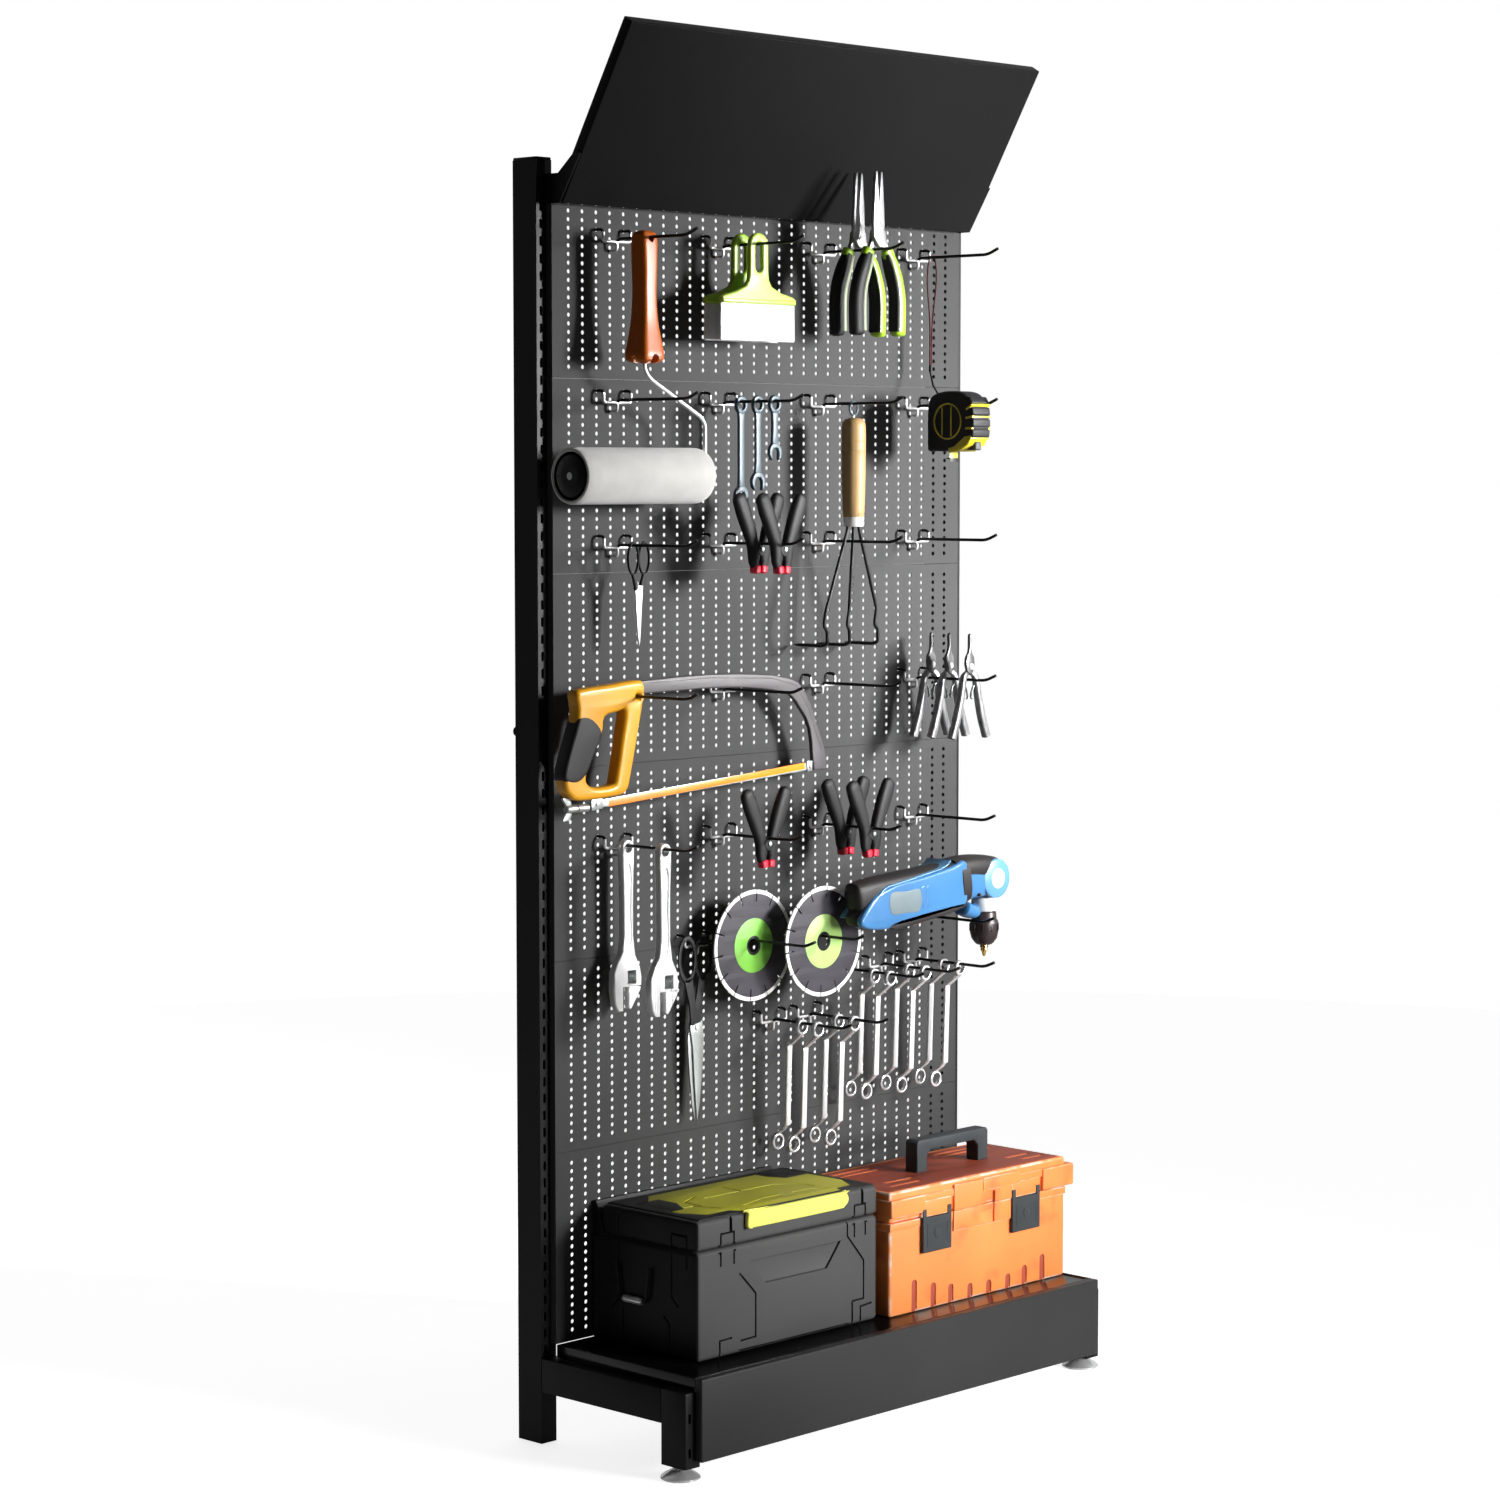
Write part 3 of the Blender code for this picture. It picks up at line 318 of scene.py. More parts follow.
SAW_GREY = surface(
    "saw_frame_paint", (0.052, 0.046, 0.05), 0.45, patch=10, vary=0.12, grain=900, bump=0.25,
    dirt=(0.09, 0.08, 0.085), dirt_scale=22, dirt_from=0.62,
)
TAPE_YELLOW = surface("tape_yellow", (0.52, 0.44, 0.02), 0.4, patch=14, vary=0.08, grain=900)
CORD_RED = surface(
    "lanyard_cord", (0.05, 0.004, 0.008), 0.8, stretch=(1, 1, 3), patch=300, vary=0.5, grain=900, bump=0.8,
)
BLUE_PAINT = surface("wrench_blue", (0.04, 0.075, 0.1), 0.4, patch=25, vary=0.2, grain=800, bump=0.3)
BEECH = wood("beech_handle", (0.4, 0.26, 0.11), (0.27, 0.155, 0.055))
DISC = surface("disc_slate", (0.024, 0.021, 0.03), 0.62, patch=30, vary=0.14, grain=1400, bump=0.6)
DISC_RIM = surface("disc_rim_diamond", (0.8, 0.79, 0.78), 0.65, patch=60, vary=0.12, grain=2200, bump=0.8)
LABEL_GREEN = surface("disc_label_green", (0.15, 0.42, 0.04), 0.45, patch=30, vary=0.12, grain=800, bump=0.1)
LABEL_PALE = surface("disc_label_pale", (0.36, 0.58, 0.16), 0.45, patch=30, vary=0.08, grain=800, bump=0.1)
DRILL_BLUE = surface("drill_blue", (0.04, 0.15, 0.33), 0.32, patch=12, vary=0.14, grain=900, bump=0.1, coat=0.2)
DRILL_PALE = surface("drill_pale_blue", (0.1, 0.26, 0.46), 0.35, patch=14, vary=0.08, grain=900, bump=0.1)
DRILL_DARK = surface("drill_dark", (0.014, 0.012, 0.012), 0.5, patch=16, vary=0.2, grain=800, bump=0.4, specular=0.3)
DRILL_SLATE = surface("drill_patch", (0.115, 0.155, 0.17), 0.55, patch=16, vary=0.1, grain=900)
DRILL_RUST = surface("drill_underside", (0.34, 0.12, 0.075), 0.5, patch=18, vary=0.15, grain=900)
DRILL_WHITE = surface("drill_white", (0.6, 0.62, 0.62), 0.4, patch=12, vary=0.04, grain=900)
CHUCK_DARK = surface("chuck_dark", (0.022, 0.014, 0.014), 0.34, patch=18, vary=0.3, grain=700, bump=0.2)
GOLD_BIT = surface("gold_bit", (0.8, 0.55, 0.16), 0.25, 1.0, patch=50, vary=0.15, grain=500)
TIP_RED = surface("clamp_tip_red", (0.58, 0.01, 0.035), 0.42, patch=30, vary=0.12, grain=900)
BLACK_TRIM = surface(
    "black_trim", (0.006, 0.006, 0.006), 0.45, patch=20, vary=0.2, grain=900, bump=0.2, specular=0.25,
)
# Painted shade: the near-black laid in the black box's grooves where shade falls.
GROOVE_SHADE = surface("groove_shadow", (0.003, 0.003, 0.003), 0.8, patch=20, vary=0.2, grain=900, specular=0.1)
PLIER_GRIP = surface("plier_grip_green", (0.2, 0.23, 0.14), 0.5, patch=22, vary=0.15, grain=800, bump=0.3)

# ---------------------------------------------------------------- mesh helpers


def made_mesh(name, vertices, faces, smooth=35.0):
    """A tidied object from vertices and faces."""
    mesh = bpy.data.meshes.new(name)
    mesh.from_pydata([tuple(v) for v in vertices], [], faces)
    mesh.validate()
    obj = bpy.data.objects.new(name, mesh)
    return tidy(obj, smooth)


def tidy(obj, smooth=35.0):
    """Welds, turns faces outwards and shades smooth except across sharp edges."""
    shape = bmesh.new()
    shape.from_mesh(obj.data)
    bmesh.ops.remove_doubles(shape, verts=shape.verts, dist=0.000004)
    bmesh.ops.recalc_face_normals(shape, faces=shape.faces)
    shape.to_mesh(obj.data)
    shape.free()
    obj.data.shade_smooth()
    obj.data.set_sharp_from_angle(angle=math.radians(smooth))
    return obj


def put(obj, look, body, stands_for=()):
    """Links the piece, gives it its material and lets it ride on its body."""
    bpy.context.scene.collection.objects.link(obj)
    if look is not None:
        obj.data.materials.clear()
        obj.data.materials.append(look)
    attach(obj, body)
    if stands_for:
        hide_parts(*stands_for)
    return obj


def block(name, low, high, soft=0.001, steps=2):
    """A box between two corners with rounded edges."""
    low, high = Vector(low), Vector(high)
    shape = bmesh.new()
    bmesh.ops.create_cube(shape, size=1.0)
    bmesh.ops.scale(shape, vec=high - low, verts=shape.verts)
    bmesh.ops.translate(shape, vec=(low + high) / 2, verts=shape.verts)
    soft = min(soft, 0.45 * min(high - low))
    bmesh.ops.bevel(shape, geom=list(shape.edges), offset=soft, segments=steps, profile=0.5, affect="EDGES")
    mesh = bpy.data.meshes.new(name)
    shape.to_mesh(mesh)
    shape.free()
    return tidy(bpy.data.objects.new(name, mesh))


def slab(name, outlines, thickness, middle, across="Y", soft=0.0008, steps=2):
    """A flat plate with closed outlines, inner ones being holes, and rounded edges. Outlines are (x, z) across
    Y, (y, z) across X and (x, y) across Z; middle is its mid-plane's place on that axis."""
    soft = min(soft, 0.45 * thickness)
    data = bpy.data.curves.new(name, "CURVE")
    data.dimensions = "2D"
    data.fill_mode = "BOTH"
    data.extrude = thickness / 2 - soft
    data.bevel_depth = soft
    data.bevel_resolution = steps - 1
    data.offset = -soft
    for outline in outlines:
        spline = data.splines.new("POLY")
        spline.points.add(len(outline) - 1)
        for point, (u, v) in zip(spline.points, outline):
            point.co = (u, v, 0, 1)
        spline.use_cyclic_u = True
    holder = bpy.data.objects.new(name + "_outline", data)
    mesh = mesh_from(holder)
    turn = {
        "Y": Matrix.Translation((0, middle, 0)) @ Matrix.Rotation(math.pi / 2, 4, "X"),
        "X": Matrix.Translation((middle, 0, 0)) @ Matrix.Rotation(
            math.pi / 2, 4, "Z",
        ) @ Matrix.Rotation(math.pi / 2, 4, "X"),
        "Z": Matrix.Translation((0, 0, middle)),
    }[across]
    mesh.transform(turn)
    return tidy(bpy.data.objects.new(name, mesh))


def mesh_from(holder):
    """The evaluated mesh of a temporary object, which is removed."""
    bpy.context.scene.collection.objects.link(holder)
    bpy.context.view_layer.update()
    graph = bpy.context.evaluated_depsgraph_get()
    mesh = bpy.data.meshes.new_from_object(holder.evaluated_get(graph))
    mesh.transform(holder.matrix_world)
    bpy.data.objects.remove(holder)
    return mesh


def smooth(points, per_span=4, closed=False):
    """A Catmull-Rom curve through the points."""
    points = [Vector(p).to_3d() if len(p) == 2 else Vector(p) for p in points]
    if closed:
        run = [points[-1]] + points + points[:2]
    else:
        run = [2 * points[0] - points[1]] + points + [2 * points[-1] - points[-2]]
    made = []
    for a, b, c, d in zip(run, run[1:], run[2:], run[3:]):
        for step in range(per_span):
            t = step / per_span
            made.append(
                0.5 * (2 * b + (c - a) * t + (2 * a - 5 * b + 4 * c - d) * t**2 + (3 * b - a - 3 * c + d) * t**3)
            )
    return made if closed else made + [points[-1]]


def rounded(outline, per_span=4):
    """A closed (u, v) outline smoothed through its points."""
    return [(p.x, p.y) for p in smooth(outline, per_span, closed=True)]


def wire(name, points, radius, sides=10):
    """A round wire through the points, as a mesh."""
    data = bpy.data.curves.new(name, "CURVE")
    data.dimensions = "3D"
    data.bevel_depth = radius
    data.bevel_resolution = sides // 2 - 2
    data.use_fill_caps = True
    spline = data.splines.new("POLY")
    spline.points.add(len(points) - 1)
    for point, place in zip(spline.points, points):
        point.co = (*place, 1)
    return tidy(bpy.data.objects.new(name, mesh_from(bpy.data.objects.new(name + "_line", data))))


def bent(points, radius, steps=4):
    """The polyline with each inner corner rounded by an arc-like curve."""
    points = [Vector(p) for p in points]
    made = [points[0]]
    for before, corner, after in zip(points, points[1:], points[2:]):
        reach = min(radius, 0.45 * (before - corner).length, 0.45 * (after - corner).length)
        start = corner + (before - corner).normalized() * reach
        end = corner + (after - corner).normalized() * reach
        for step in range(steps + 1):
            t = step / steps
            made.append((1 - t) ** 2 * start + 2 * t * (1 - t) * corner + t**2 * end)
    return made + [points[-1]]


def lathe(name, profile, centre, axis="Z", steps=40):
    """A turned piece: profile is (radius, height) along the axis through centre."""
    vertices, faces = [], []
    for radius, height in profile:
        for step in range(steps):
            angle = 2 * math.pi * step / steps
            vertices.append((radius * math.cos(angle), radius * math.sin(angle), height))
    for ring in range(len(profile) - 1):
        for step in range(steps):
            a, b = ring * steps + step, ring * steps + (step + 1) % steps
            faces.append((a, b, b + steps, a + steps))
    if profile[0][0] > 0 and profile[0] != profile[-1]:
        faces.append(tuple(range(steps)))
        faces.append(tuple(range((len(profile) - 1) * steps, len(profile) * steps)))
    turn = {
        "Z": Matrix.Identity(4), "X": Matrix.Rotation(math.pi / 2, 4, "Y"),
        "Y": Matrix.Rotation(-math.pi / 2, 4, "X"),
    }[axis]
    place = Matrix.Translation(centre) @ turn
    return made_mesh(name, [place @ Vector(v) for v in vertices], faces)


def limb(name, stations, y, sides=18, power=2.6, ends=(0.55, 0.55), detail=4):
    """A rounded handle whose middle line runs through (x, z, half width, half depth[, y shift]) stations."""
    stations = [tuple(s) + (0.0,) * (5 - len(s)) for s in stations]
    line = smooth([(s[0], s[4], s[1]) for s in stations], detail)
    sizes = smooth([(s[2], s[3], 0) for s in stations], detail)
    first, last = line[0], line[-1]
    start_out = (first - line[1]).normalized()
    end_out = (last - line[-2]).normalized()
    rings = []
    for share, grow in ((ends[0], 0.45), (ends[0] * 0.55, 0.85)):
        rings.append((first + start_out * sizes[0].x * share, sizes[0] * grow, -start_out))
    for index, (place, size) in enumerate(zip(line, sizes)):
        ahead = line[min(index + 1, len(line) - 1)] - line[max(index - 1, 0)]
        rings.append((place, size, ahead.normalized()))
    for share, grow in ((ends[1] * 0.55, 0.85), (ends[1], 0.45)):
        rings.append((last + end_out * sizes[-1].x * share, sizes[-1] * grow, end_out))
    vertices, faces = [], []
    for place, size, ahead in rings:
        side = Vector((ahead.z, 0, -ahead.x)).normalized()
        for step in range(sides):
            angle = 2 * math.pi * step / sides
            c, s = math.cos(angle), math.sin(angle)
            across = math.copysign(abs(c) ** (2 / power), c) * size.x
            deep = math.copysign(abs(s) ** (2 / power), s) * size.y
            vertices.append(place + side * across + Vector((0, y + deep, 0)))
    for ring in range(len(rings) - 1):
        for step in range(sides):
            a, b = ring * sides + step, ring * sides + (step + 1) % sides
            faces.append((a, b, b + sides, a + sides))
    faces.append(tuple(range(sides)))
    faces.append(tuple(range((len(rings) - 1) * sides, len(rings) * sides)))
    return made_mesh(name, vertices, faces, 50)


def put_joined(name, pieces, body, stands_for=()):
    made = joined(name, pieces)
    return put(made, None, body, stands_for)


def joined(name, pieces):
    """Several (object, material) pairs as one object that keeps each one's material."""
    shape = bmesh.new()
    looks = []
    for obj, look in pieces:
        if look not in looks:
            looks.append(look)
        start = len(shape.faces)
        shape.from_mesh(obj.data)
        shape.faces.ensure_lookup_table()
        for face in shape.faces[start:]:
            face.material_index = looks.index(look)
        bpy.data.objects.remove(obj)
    mesh = bpy.data.meshes.new(name)
    shape.to_mesh(mesh)
    shape.free()
    for look in looks:
        mesh.materials.append(look)
    made = bpy.data.objects.new(name, mesh)
    made.data.set_sharp_from_angle(angle=math.radians(38))
    return made


def cut(obj, *tools):
    """The object with the tools' shapes taken away."""
    for tool in tools:
        bpy.context.scene.collection.objects.link(tool)
        step = obj.modifiers.new("cut", "BOOLEAN")
        step.operation = "DIFFERENCE"
        step.solver = "EXACT"
        step.object = tool
    name = obj.name
    mesh = mesh_from(obj)
    for tool in tools:
        bpy.data.objects.remove(tool)
    return tidy(bpy.data.objects.new(name, mesh))


def at(u0, v0, points, turn=1):
    """Points given in millimetres from (u0, v0), in metres, mirrored left to right where turn is -1. What follows
    the first two numbers of a point, such as a half width, is a size in millimetres too."""
    return [(u0 + turn * u / 1000, v0 + v / 1000, *(size / 1000 for size in sizes)) for u, v, *sizes in points]


def mm(points):
    return at(0, 0, points)


def mm_lines(lines):
    return [mm(line) for line in lines]


def middle_y(node):
    low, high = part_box(node)
    return (low.y + high.y) / 2


def arc(cu, cv, ru, rv, start, end, count):
    """Points on an ellipse's arc about (cu, cv), between two angles in degrees."""
    angles = [math.radians(start + (end - start) * i / (count - 1)) for i in range(count)]
    return [(cu + ru * math.cos(a), cv + rv * math.sin(a)) for a in angles]


def ring(cu, cv, ru, rv, count=28):
    """A whole ellipse as an outline."""
    return arc(cu, cv, ru, rv, 0, 360 * (count - 1) / count, count)


def capsule(cu, low, high, radius, count=9):
    """The outline of an upright slot with round ends."""
    upper = arc(cu, high - radius, radius, radius, 0, 180, count)
    return upper + arc(cu, low + radius, radius, radius, 180, 360, count)


# ---------------------------------------------------------------- perforated sheets

def holed_sheet(origin, across, up, inward, size, spots, cell, hole, thickness):
    """A flat sheet as vertices and faces, with a hole in a cell round each spot and plain strips between.
    Spots are sorted sets (us, vs); hole is half width and half height of the rounded slot."""
    origin, across, up, inward = (Vector(v) for v in (origin, across, up, inward))
    vertices, faces = [], []

    def add(points, depth=0.0):
        start = len(vertices)
        vertices.extend(origin + across * u + up * v + inward * depth for u, v in points)
        return start

    us, vs = spots
    half_u, half_v = cell[0] / 2, cell[1] / 2
    corner = [
        (1, 0), (1, 1), (0.5, 1), (0, 1), (-0.5, 1), (-1, 1), (-1, 0), (-1, -1), (-0.5, -1), (0, -1), (0.5, -1),
        (1, -1),
    ]
    straight = hole[1] - hole[0]
    rim = []
    for index in range(12):
        angle = math.radians(30 * index)
        lift = straight * (1 if 0 < index < 6 else -1 if index > 6 else 0)
        rim.append((hole[0] * math.cos(angle), hole[0] * math.sin(angle) + lift))
    for u in us:
        for v in vs:
            outer = add([(u + a * half_u, v + b * half_v) for a, b in corner])
            inner = add([(u + a, v + b) for a, b in rim])
            back = add([(u + a, v + b) for a, b in rim], thickness)
            for i in range(12):
                j = (i + 1) % 12
                faces.append((outer + i, outer + j, inner + j, inner + i))
                faces.append((inner + i, inner + j, back + j, back + i))
    u_marks = [0.0] + [m for u in us for m in (u - half_u, u + half_u)] + [size[0]]
    v_marks = [0.0] + [m for v in vs for m in (v - half_v, v + half_v)] + [size[1]]
    for i, (u0, u1) in enumerate(zip(u_marks, u_marks[1:])):
        for j, (v0, v1) in enumerate(zip(v_marks, v_marks[1:])):
            if (i % 2 and j % 2) or u1 - u0 < 1e-6 or v1 - v0 < 1e-6:
                continue
            start = add([(u0, v0), (u1, v0), (u1, v1), (u0, v1)])
            faces.append((start, start + 1, start + 2, start + 3))
    return vertices, faces


def merged(name, parts, strips=()):
    """One mesh from several (vertices, faces) parts and extra quads given as corner lists."""
    vertices, faces = [], []
    for more, quads in parts:
        start = len(vertices)
        vertices.extend(more)
        faces.extend(tuple(start + i for i in face) for face in quads)
    for corners in strips:
        start = len(vertices)
        vertices.extend(Vector(c) for c in corners)
        faces.append(tuple(range(start, start + len(corners))))
    mesh = bpy.data.meshes.new(name)
    mesh.from_pydata([tuple(v) for v in vertices], [], faces)
    obj = bpy.data.objects.new(name, mesh)
    shape = bmesh.new()
    shape.from_mesh(mesh)
    bmesh.ops.remove_doubles(shape, verts=shape.verts, dist=0.000002)
    shape.to_mesh(mesh)
    shape.free()
    mesh.shade_smooth()
    mesh.set_sharp_from_angle(angle=math.radians(30))
    return obj


def panel_tray(index):
    """A panel: perforated face with folded edges going back."""
    node = f"back_panel_{index + 1}"
    low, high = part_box(node)
    us = [column_x(c) - low.x for c in range(COLUMNS)]
    vs = sorted(hole_z(index, row) - low.z for row in range(ROWS))
    size = (high.x - low.x, high.z - low.z)
    cell, hole = (PITCH_X, PITCH_Z), (HOLE, HOLE)
    face = holed_sheet(low, (1, 0, 0), (0, 0, 1), (0, 1, 0), size, (us, vs), cell, hole, SHEET)
    inner = (low.x + SHEET, low.y + SHEET, low.z + SHEET, high.x - SHEET, high.z - SHEET)
    shell = merged(node + "_perforated", [face], tray_sides(low, high, inner))
    rear_low = (low.x, low.y + SHEET, low.z)
    back = holed_sheet(rear_low, (1, 0, 0), (0, 0, 1), (0, 1, 0), size, (us, vs), cell, hole, 0.0)
    rear = merged(node + "_rear", [back])
    both = joined(node + "_sheet", [(shell, PANEL_COAT), (rear, PANEL_COAT)])
    put(both, None, "wall", (node,))


def tray_sides(low, high, inner):
    """The four folded sides of a tray that opens backwards, each with its thickness."""
    x0, y0, z0 = low
    x1, y1, z1 = high
    ix0, iy, iz0, ix1, iz1 = inner
    outer = [(x0, z0), (x1, z0), (x1, z1), (x0, z1)]
    inside = [(ix0, iz0), (ix1, iz0), (ix1, iz1), (ix0, iz1)]
    quads = []
    for i in range(4):
        (ax, az), (bx, bz) = outer[i], outer[(i + 1) % 4]
        (cx, cz), (dx, dz) = inside[i], inside[(i + 1) % 4]
        quads.append([(ax, y0, az), (bx, y0, bz), (bx, y1, bz), (ax, y1, az)])
        quads.append([(cx, y1, cz), (dx, y1, dz), (dx, iy, dz), (cx, iy, cz)])
        quads.append([(ax, y1, az), (bx, y1, bz), (dx, y1, dz), (cx, y1, cz)])
    return quads


SLOT_PITCH = 0.025
SLOT_HALF = (0.0026, 0.0072)
SLOT_INSET = 0.0085
SLOT_CELL = (0.012, SLOT_PITCH)
LOWEST_SLOT = 0.09
TUBE_WALL = 0.002
CAP = 0.004
KNOB_AT = (-0.458, 0.1825, 1.053)


def upright(side, label):
    """A 30 x 50 tube with a line of slots down its front and one down its back."""
    node = f"upright_{label}"
    low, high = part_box(node)
    width, height = high.x - low.x, high.z - low.z - CAP
    vs = [LOWEST_SLOT + SLOT_PITCH * i for i in range(int((height - 0.12) / SLOT_PITCH))]
    front_u = SLOT_INSET if side < 0 else width - SLOT_INSET
    parts = [
        holed_sheet(
            (low.x, y, low.z), (1, 0, 0), (0, 0, 1), (0, inward, 0), (width, height), ([front_u], vs), SLOT_CELL,
            SLOT_HALF, TUBE_WALL,
        )
        for y, inward in ((low.y, 1), (high.y, -1))
    ]
    z0, z1 = low.z, low.z + height
    for x in (low.x, high.x):
        corners = ((x, low.y, z0), (x, high.y, z0), (x, high.y, z1), (x, low.y, z1))
        parts.append(([Vector(c) for c in corners], [(0, 1, 2, 3)]))
    x0, x1, y0, y1 = low.x + TUBE_WALL, high.x - TUBE_WALL, low.y + TUBE_WALL, high.y - TUBE_WALL
    strips = [
        [(x0, y0, z0), (x0, y1, z0), (x0, y1, z1), (x0, y0, z1)],
        [(x1, y0, z0), (x1, y1, z0), (x1, y1, z1), (x1, y0, z1)],
        [(low.x, low.y, z0), (high.x, low.y, z0), (x1, y0, z0), (x0, y0, z0)],
        [(low.x, high.y, z0), (high.x, high.y, z0), (x1, y1, z0), (x0, y1, z0)],
        [(low.x, low.y, z0), (low.x, high.y, z0), (x0, y1, z0), (x0, y0, z0)],
        [(high.x, low.y, z0), (high.x, high.y, z0), (x1, y1, z0), (x1, y0, z0)],
    ]
    put(merged(node + "_tube", parts, strips), BLACK_COAT, "wall", (node,))
    cap = block(
        node + "_cap", (low.x + 0.0002, low.y + 0.0002, high.z - CAP - 0.008),
        (high.x - 0.0002, high.y - 0.0002, high.z), 0.0014, 3,
    )
    put(cap, BLACK_TRIM, "wall")


def make_frame():
    """Panels, uprights, base, feet, header and the knob behind the left upright."""
    for index in range(6):
        panel_tray(index)
    for side, label in ((-1, "left"), (1, "right")):
        upright(side, label)
        low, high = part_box(f"base_rail_{label}")
        put(
            block(f"base_rail_{label}_tube", low, high, 0.0016, 3), BLACK_COAT, "wall",
            (f"base_rail_{label}",),
        )
        low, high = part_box(f"front_leg_{label}")
        tube = block(f"front_leg_{label}_tube", low, high, 0.0016, 3)
        slots = [
            slab(
                f"leg_slot_{label}_{i}", [capsule(low.x + SLOT_INSET, z, z + 0.0144, SLOT_HALF[0])], 0.012, low.y,
                soft=0.0001,
            ) for i,
            z in enumerate((low.z + 0.016, low.z + 0.066))
        ]
        put(cut(tube, *slots), BLACK_COAT, "wall", (f"front_leg_{label}",))
        low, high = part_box(f"levelling_foot_{label}")
        centre = ((low.x + high.x) / 2, (low.y + high.y) / 2, 0)
        profile = mm([
            (0.1, 0), (27.5, 0), (29, 1), (28.8, 3.2), (24, 7.2), (16.5, 11.2), (12.8, 12.8), (11.6, 14),
            (11.2, 16.2), (5.6, 16.8), (5, 20), (5, 60), (0.1, 60),
        ])
        put(
            lathe(f"levelling_foot_{label}_turned", profile, centre, steps=56), CHROME, f"{label}_foot",
            (f"levelling_foot_{label}",),
        )
        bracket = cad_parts[f"header_bracket_{label}"].data
        bracket.materials.clear()
        bracket.materials.append(BLACK_COAT)
    low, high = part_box("kick_plate")
    kick = block("kick_plate_face", low, high, 0.002, 4)
    hollow = block(
        "kick_hollow", (low.x + SHEET, low.y + SHEET, low.z + SHEET),
        (high.x - SHEET, high.y + 0.01, high.z - SHEET),
    )
    put(cut(kick, hollow), KICK_COAT, "wall", ("kick_plate",))
    low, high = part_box("base_deck")
    deck = block("base_deck_tray", low, high, 0.0009, 3)
    rim, dip = 0.0022, 0.0025
    tray = block(
        "deck_dip", (low.x + rim, low.y + rim, high.z - dip), (high.x - rim, high.y - rim, high.z + 0.01), 0.0006,
    )
    under = block(
        "deck_under", (low.x + rim, low.y + rim, low.z - 0.01), (high.x - rim, high.y - rim, high.z - dip - 0.002),
        0.0006,
    )
    put(cut(deck, tray, under), DECK_COAT, "wall", ("base_deck",))
    make_header()
    knob = lathe("upright_knob", mm([
        (0.1, 0), (4.2, 0), (4.2, 3), (7.5, 3.6), (8.2, 6), (7, 8.5), (0.1, 9),
    ]), KNOB_AT, "Y", 24)
    put(knob, BLACK_TRIM, "wall")


HEADER_FOOT = (0.0975, 1.8174)
HEADER_LEAN = math.radians(30.3)
HEADER_HEIGHT, HEADER_THICK = 0.2858, 0.018


def make_header():
    """The leaning board: a rounded tray of sheet steel, open at the back."""
    board = block("header_board_tray", (-HALF, 0, 0), (HALF, HEADER_THICK, HEADER_HEIGHT), 0.0016, 4)
    hollow = block(
        "header_hollow", (-HALF + SHEET, SHEET, SHEET), (HALF - SHEET, HEADER_THICK + 0.01, HEADER_HEIGHT - SHEET),
        0.0003,
    )
    tray = cut(board, hollow)
    tray.data.transform(Matrix.Translation((0, *HEADER_FOOT)) @ Matrix.Rotation(HEADER_LEAN, 4, "X"))
    put(tray, HEADER_COAT, "wall", ("header_board",))


# ---------------------------------------------------------------- hooks

def make_hook(index, column, entry_z):
    """A wire clip hooked through two holes, with a tail that rests on the panel and a long prong. Its ears, the same
    chrome wire running back into the holes, are coloured as dark wire: a painted dark reflection.
    """
    left, middle, right = (column_x(column + i) for i in (0, 1, 2))
    front = PANEL_Y - HOOK_STAND
    behind = PANEL_Y + 0.004
    bar_z = entry_z - HOOK_RISE
    short = (index, column) == SHORT_HOOK
    reach, tip = (SHORT_REACH, SHORT_TIP) if short else (PRONG_REACH, PRONG_TIP)
    prong = bar_z + PRONG_RISE
    name = f"hook_{index + 1}_{column}"
    # Painted dark reflection: the ears get the dark wire's colour, though they are the bar's chrome wire.
    ears = []
    for x in (left, right):
        points = [
            (x, behind, entry_z + 0.006), (x, behind, entry_z), (x, front + 0.0035, entry_z),
            (x, front, entry_z - 0.0035),
        ]
        ears.append((wire(f"{name}_ear", bent(points, 0.003, 3), HOOK_DRAWN), DARK_WIRE))
    bar = wire(name + "_bar", bent([
        (left, front, entry_z - 0.003), (left, front, bar_z), (right, front, bar_z), (right, front, entry_z - 0.003),
    ], 0.0045), HOOK_DRAWN)
    long_prong = wire(name + "_prong", bent([
        (middle, front + 0.0005, bar_z + 0.0008), (middle, front - 0.006, prong), (middle, PANEL_Y - reach, prong),
        (middle, PANEL_Y - reach - tip[0], prong + tip[1]),
    ], 0.01 if not short else 0.004, 5), PRONG_DRAWN, 12)
    tail = wire(name + "_tail", bent([
        (middle, front, bar_z), (middle, front, bar_z - HOOK_TAIL), (middle, PANEL_Y - 0.0004, bar_z - HOOK_TAIL),
    ], 0.004), HOOK_DRAWN)
    pieces = ears + [(bar, CHROME), (long_prong, DARK_WIRE), (tail, CHROME)]
    return put_joined(name, pieces, "wall")


def make_hooks():
    """Every hook, made in place of the CAD's hook rows, which are hidden."""
    for index, (panel, row, columns) in enumerate(HOOK_ROWS):
        hooks = [make_hook(index, column, hole_z(panel, row)) for column in columns]
        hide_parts(f"hook_row_{index + 1}")


# ---------------------------------------------------------------- toolboxes

def band(points, width):
    """The outline of a flat strip of this width along a polyline, mitred at its corners."""
    points = [Vector((*p, 0)) for p in points]
    left, right = [], []
    for index, point in enumerate(points):
        before = (point - points[index - 1]).normalized() if index else None
        after = (points[index + 1] - point).normalized() if index < len(points) - 1 else None
        ahead = ((before or after) + (after or before)).normalized()
        side = Vector((-ahead.y, ahead.x, 0))
        onward = after or before
        reach = width / 2 / max(0.4, side.dot(Vector((-onward.y, onward.x, 0))))
        left.append(point + side * reach)
        right.append(point - side * reach)
    return [(p.x, p.y) for p in left + right[::-1]]


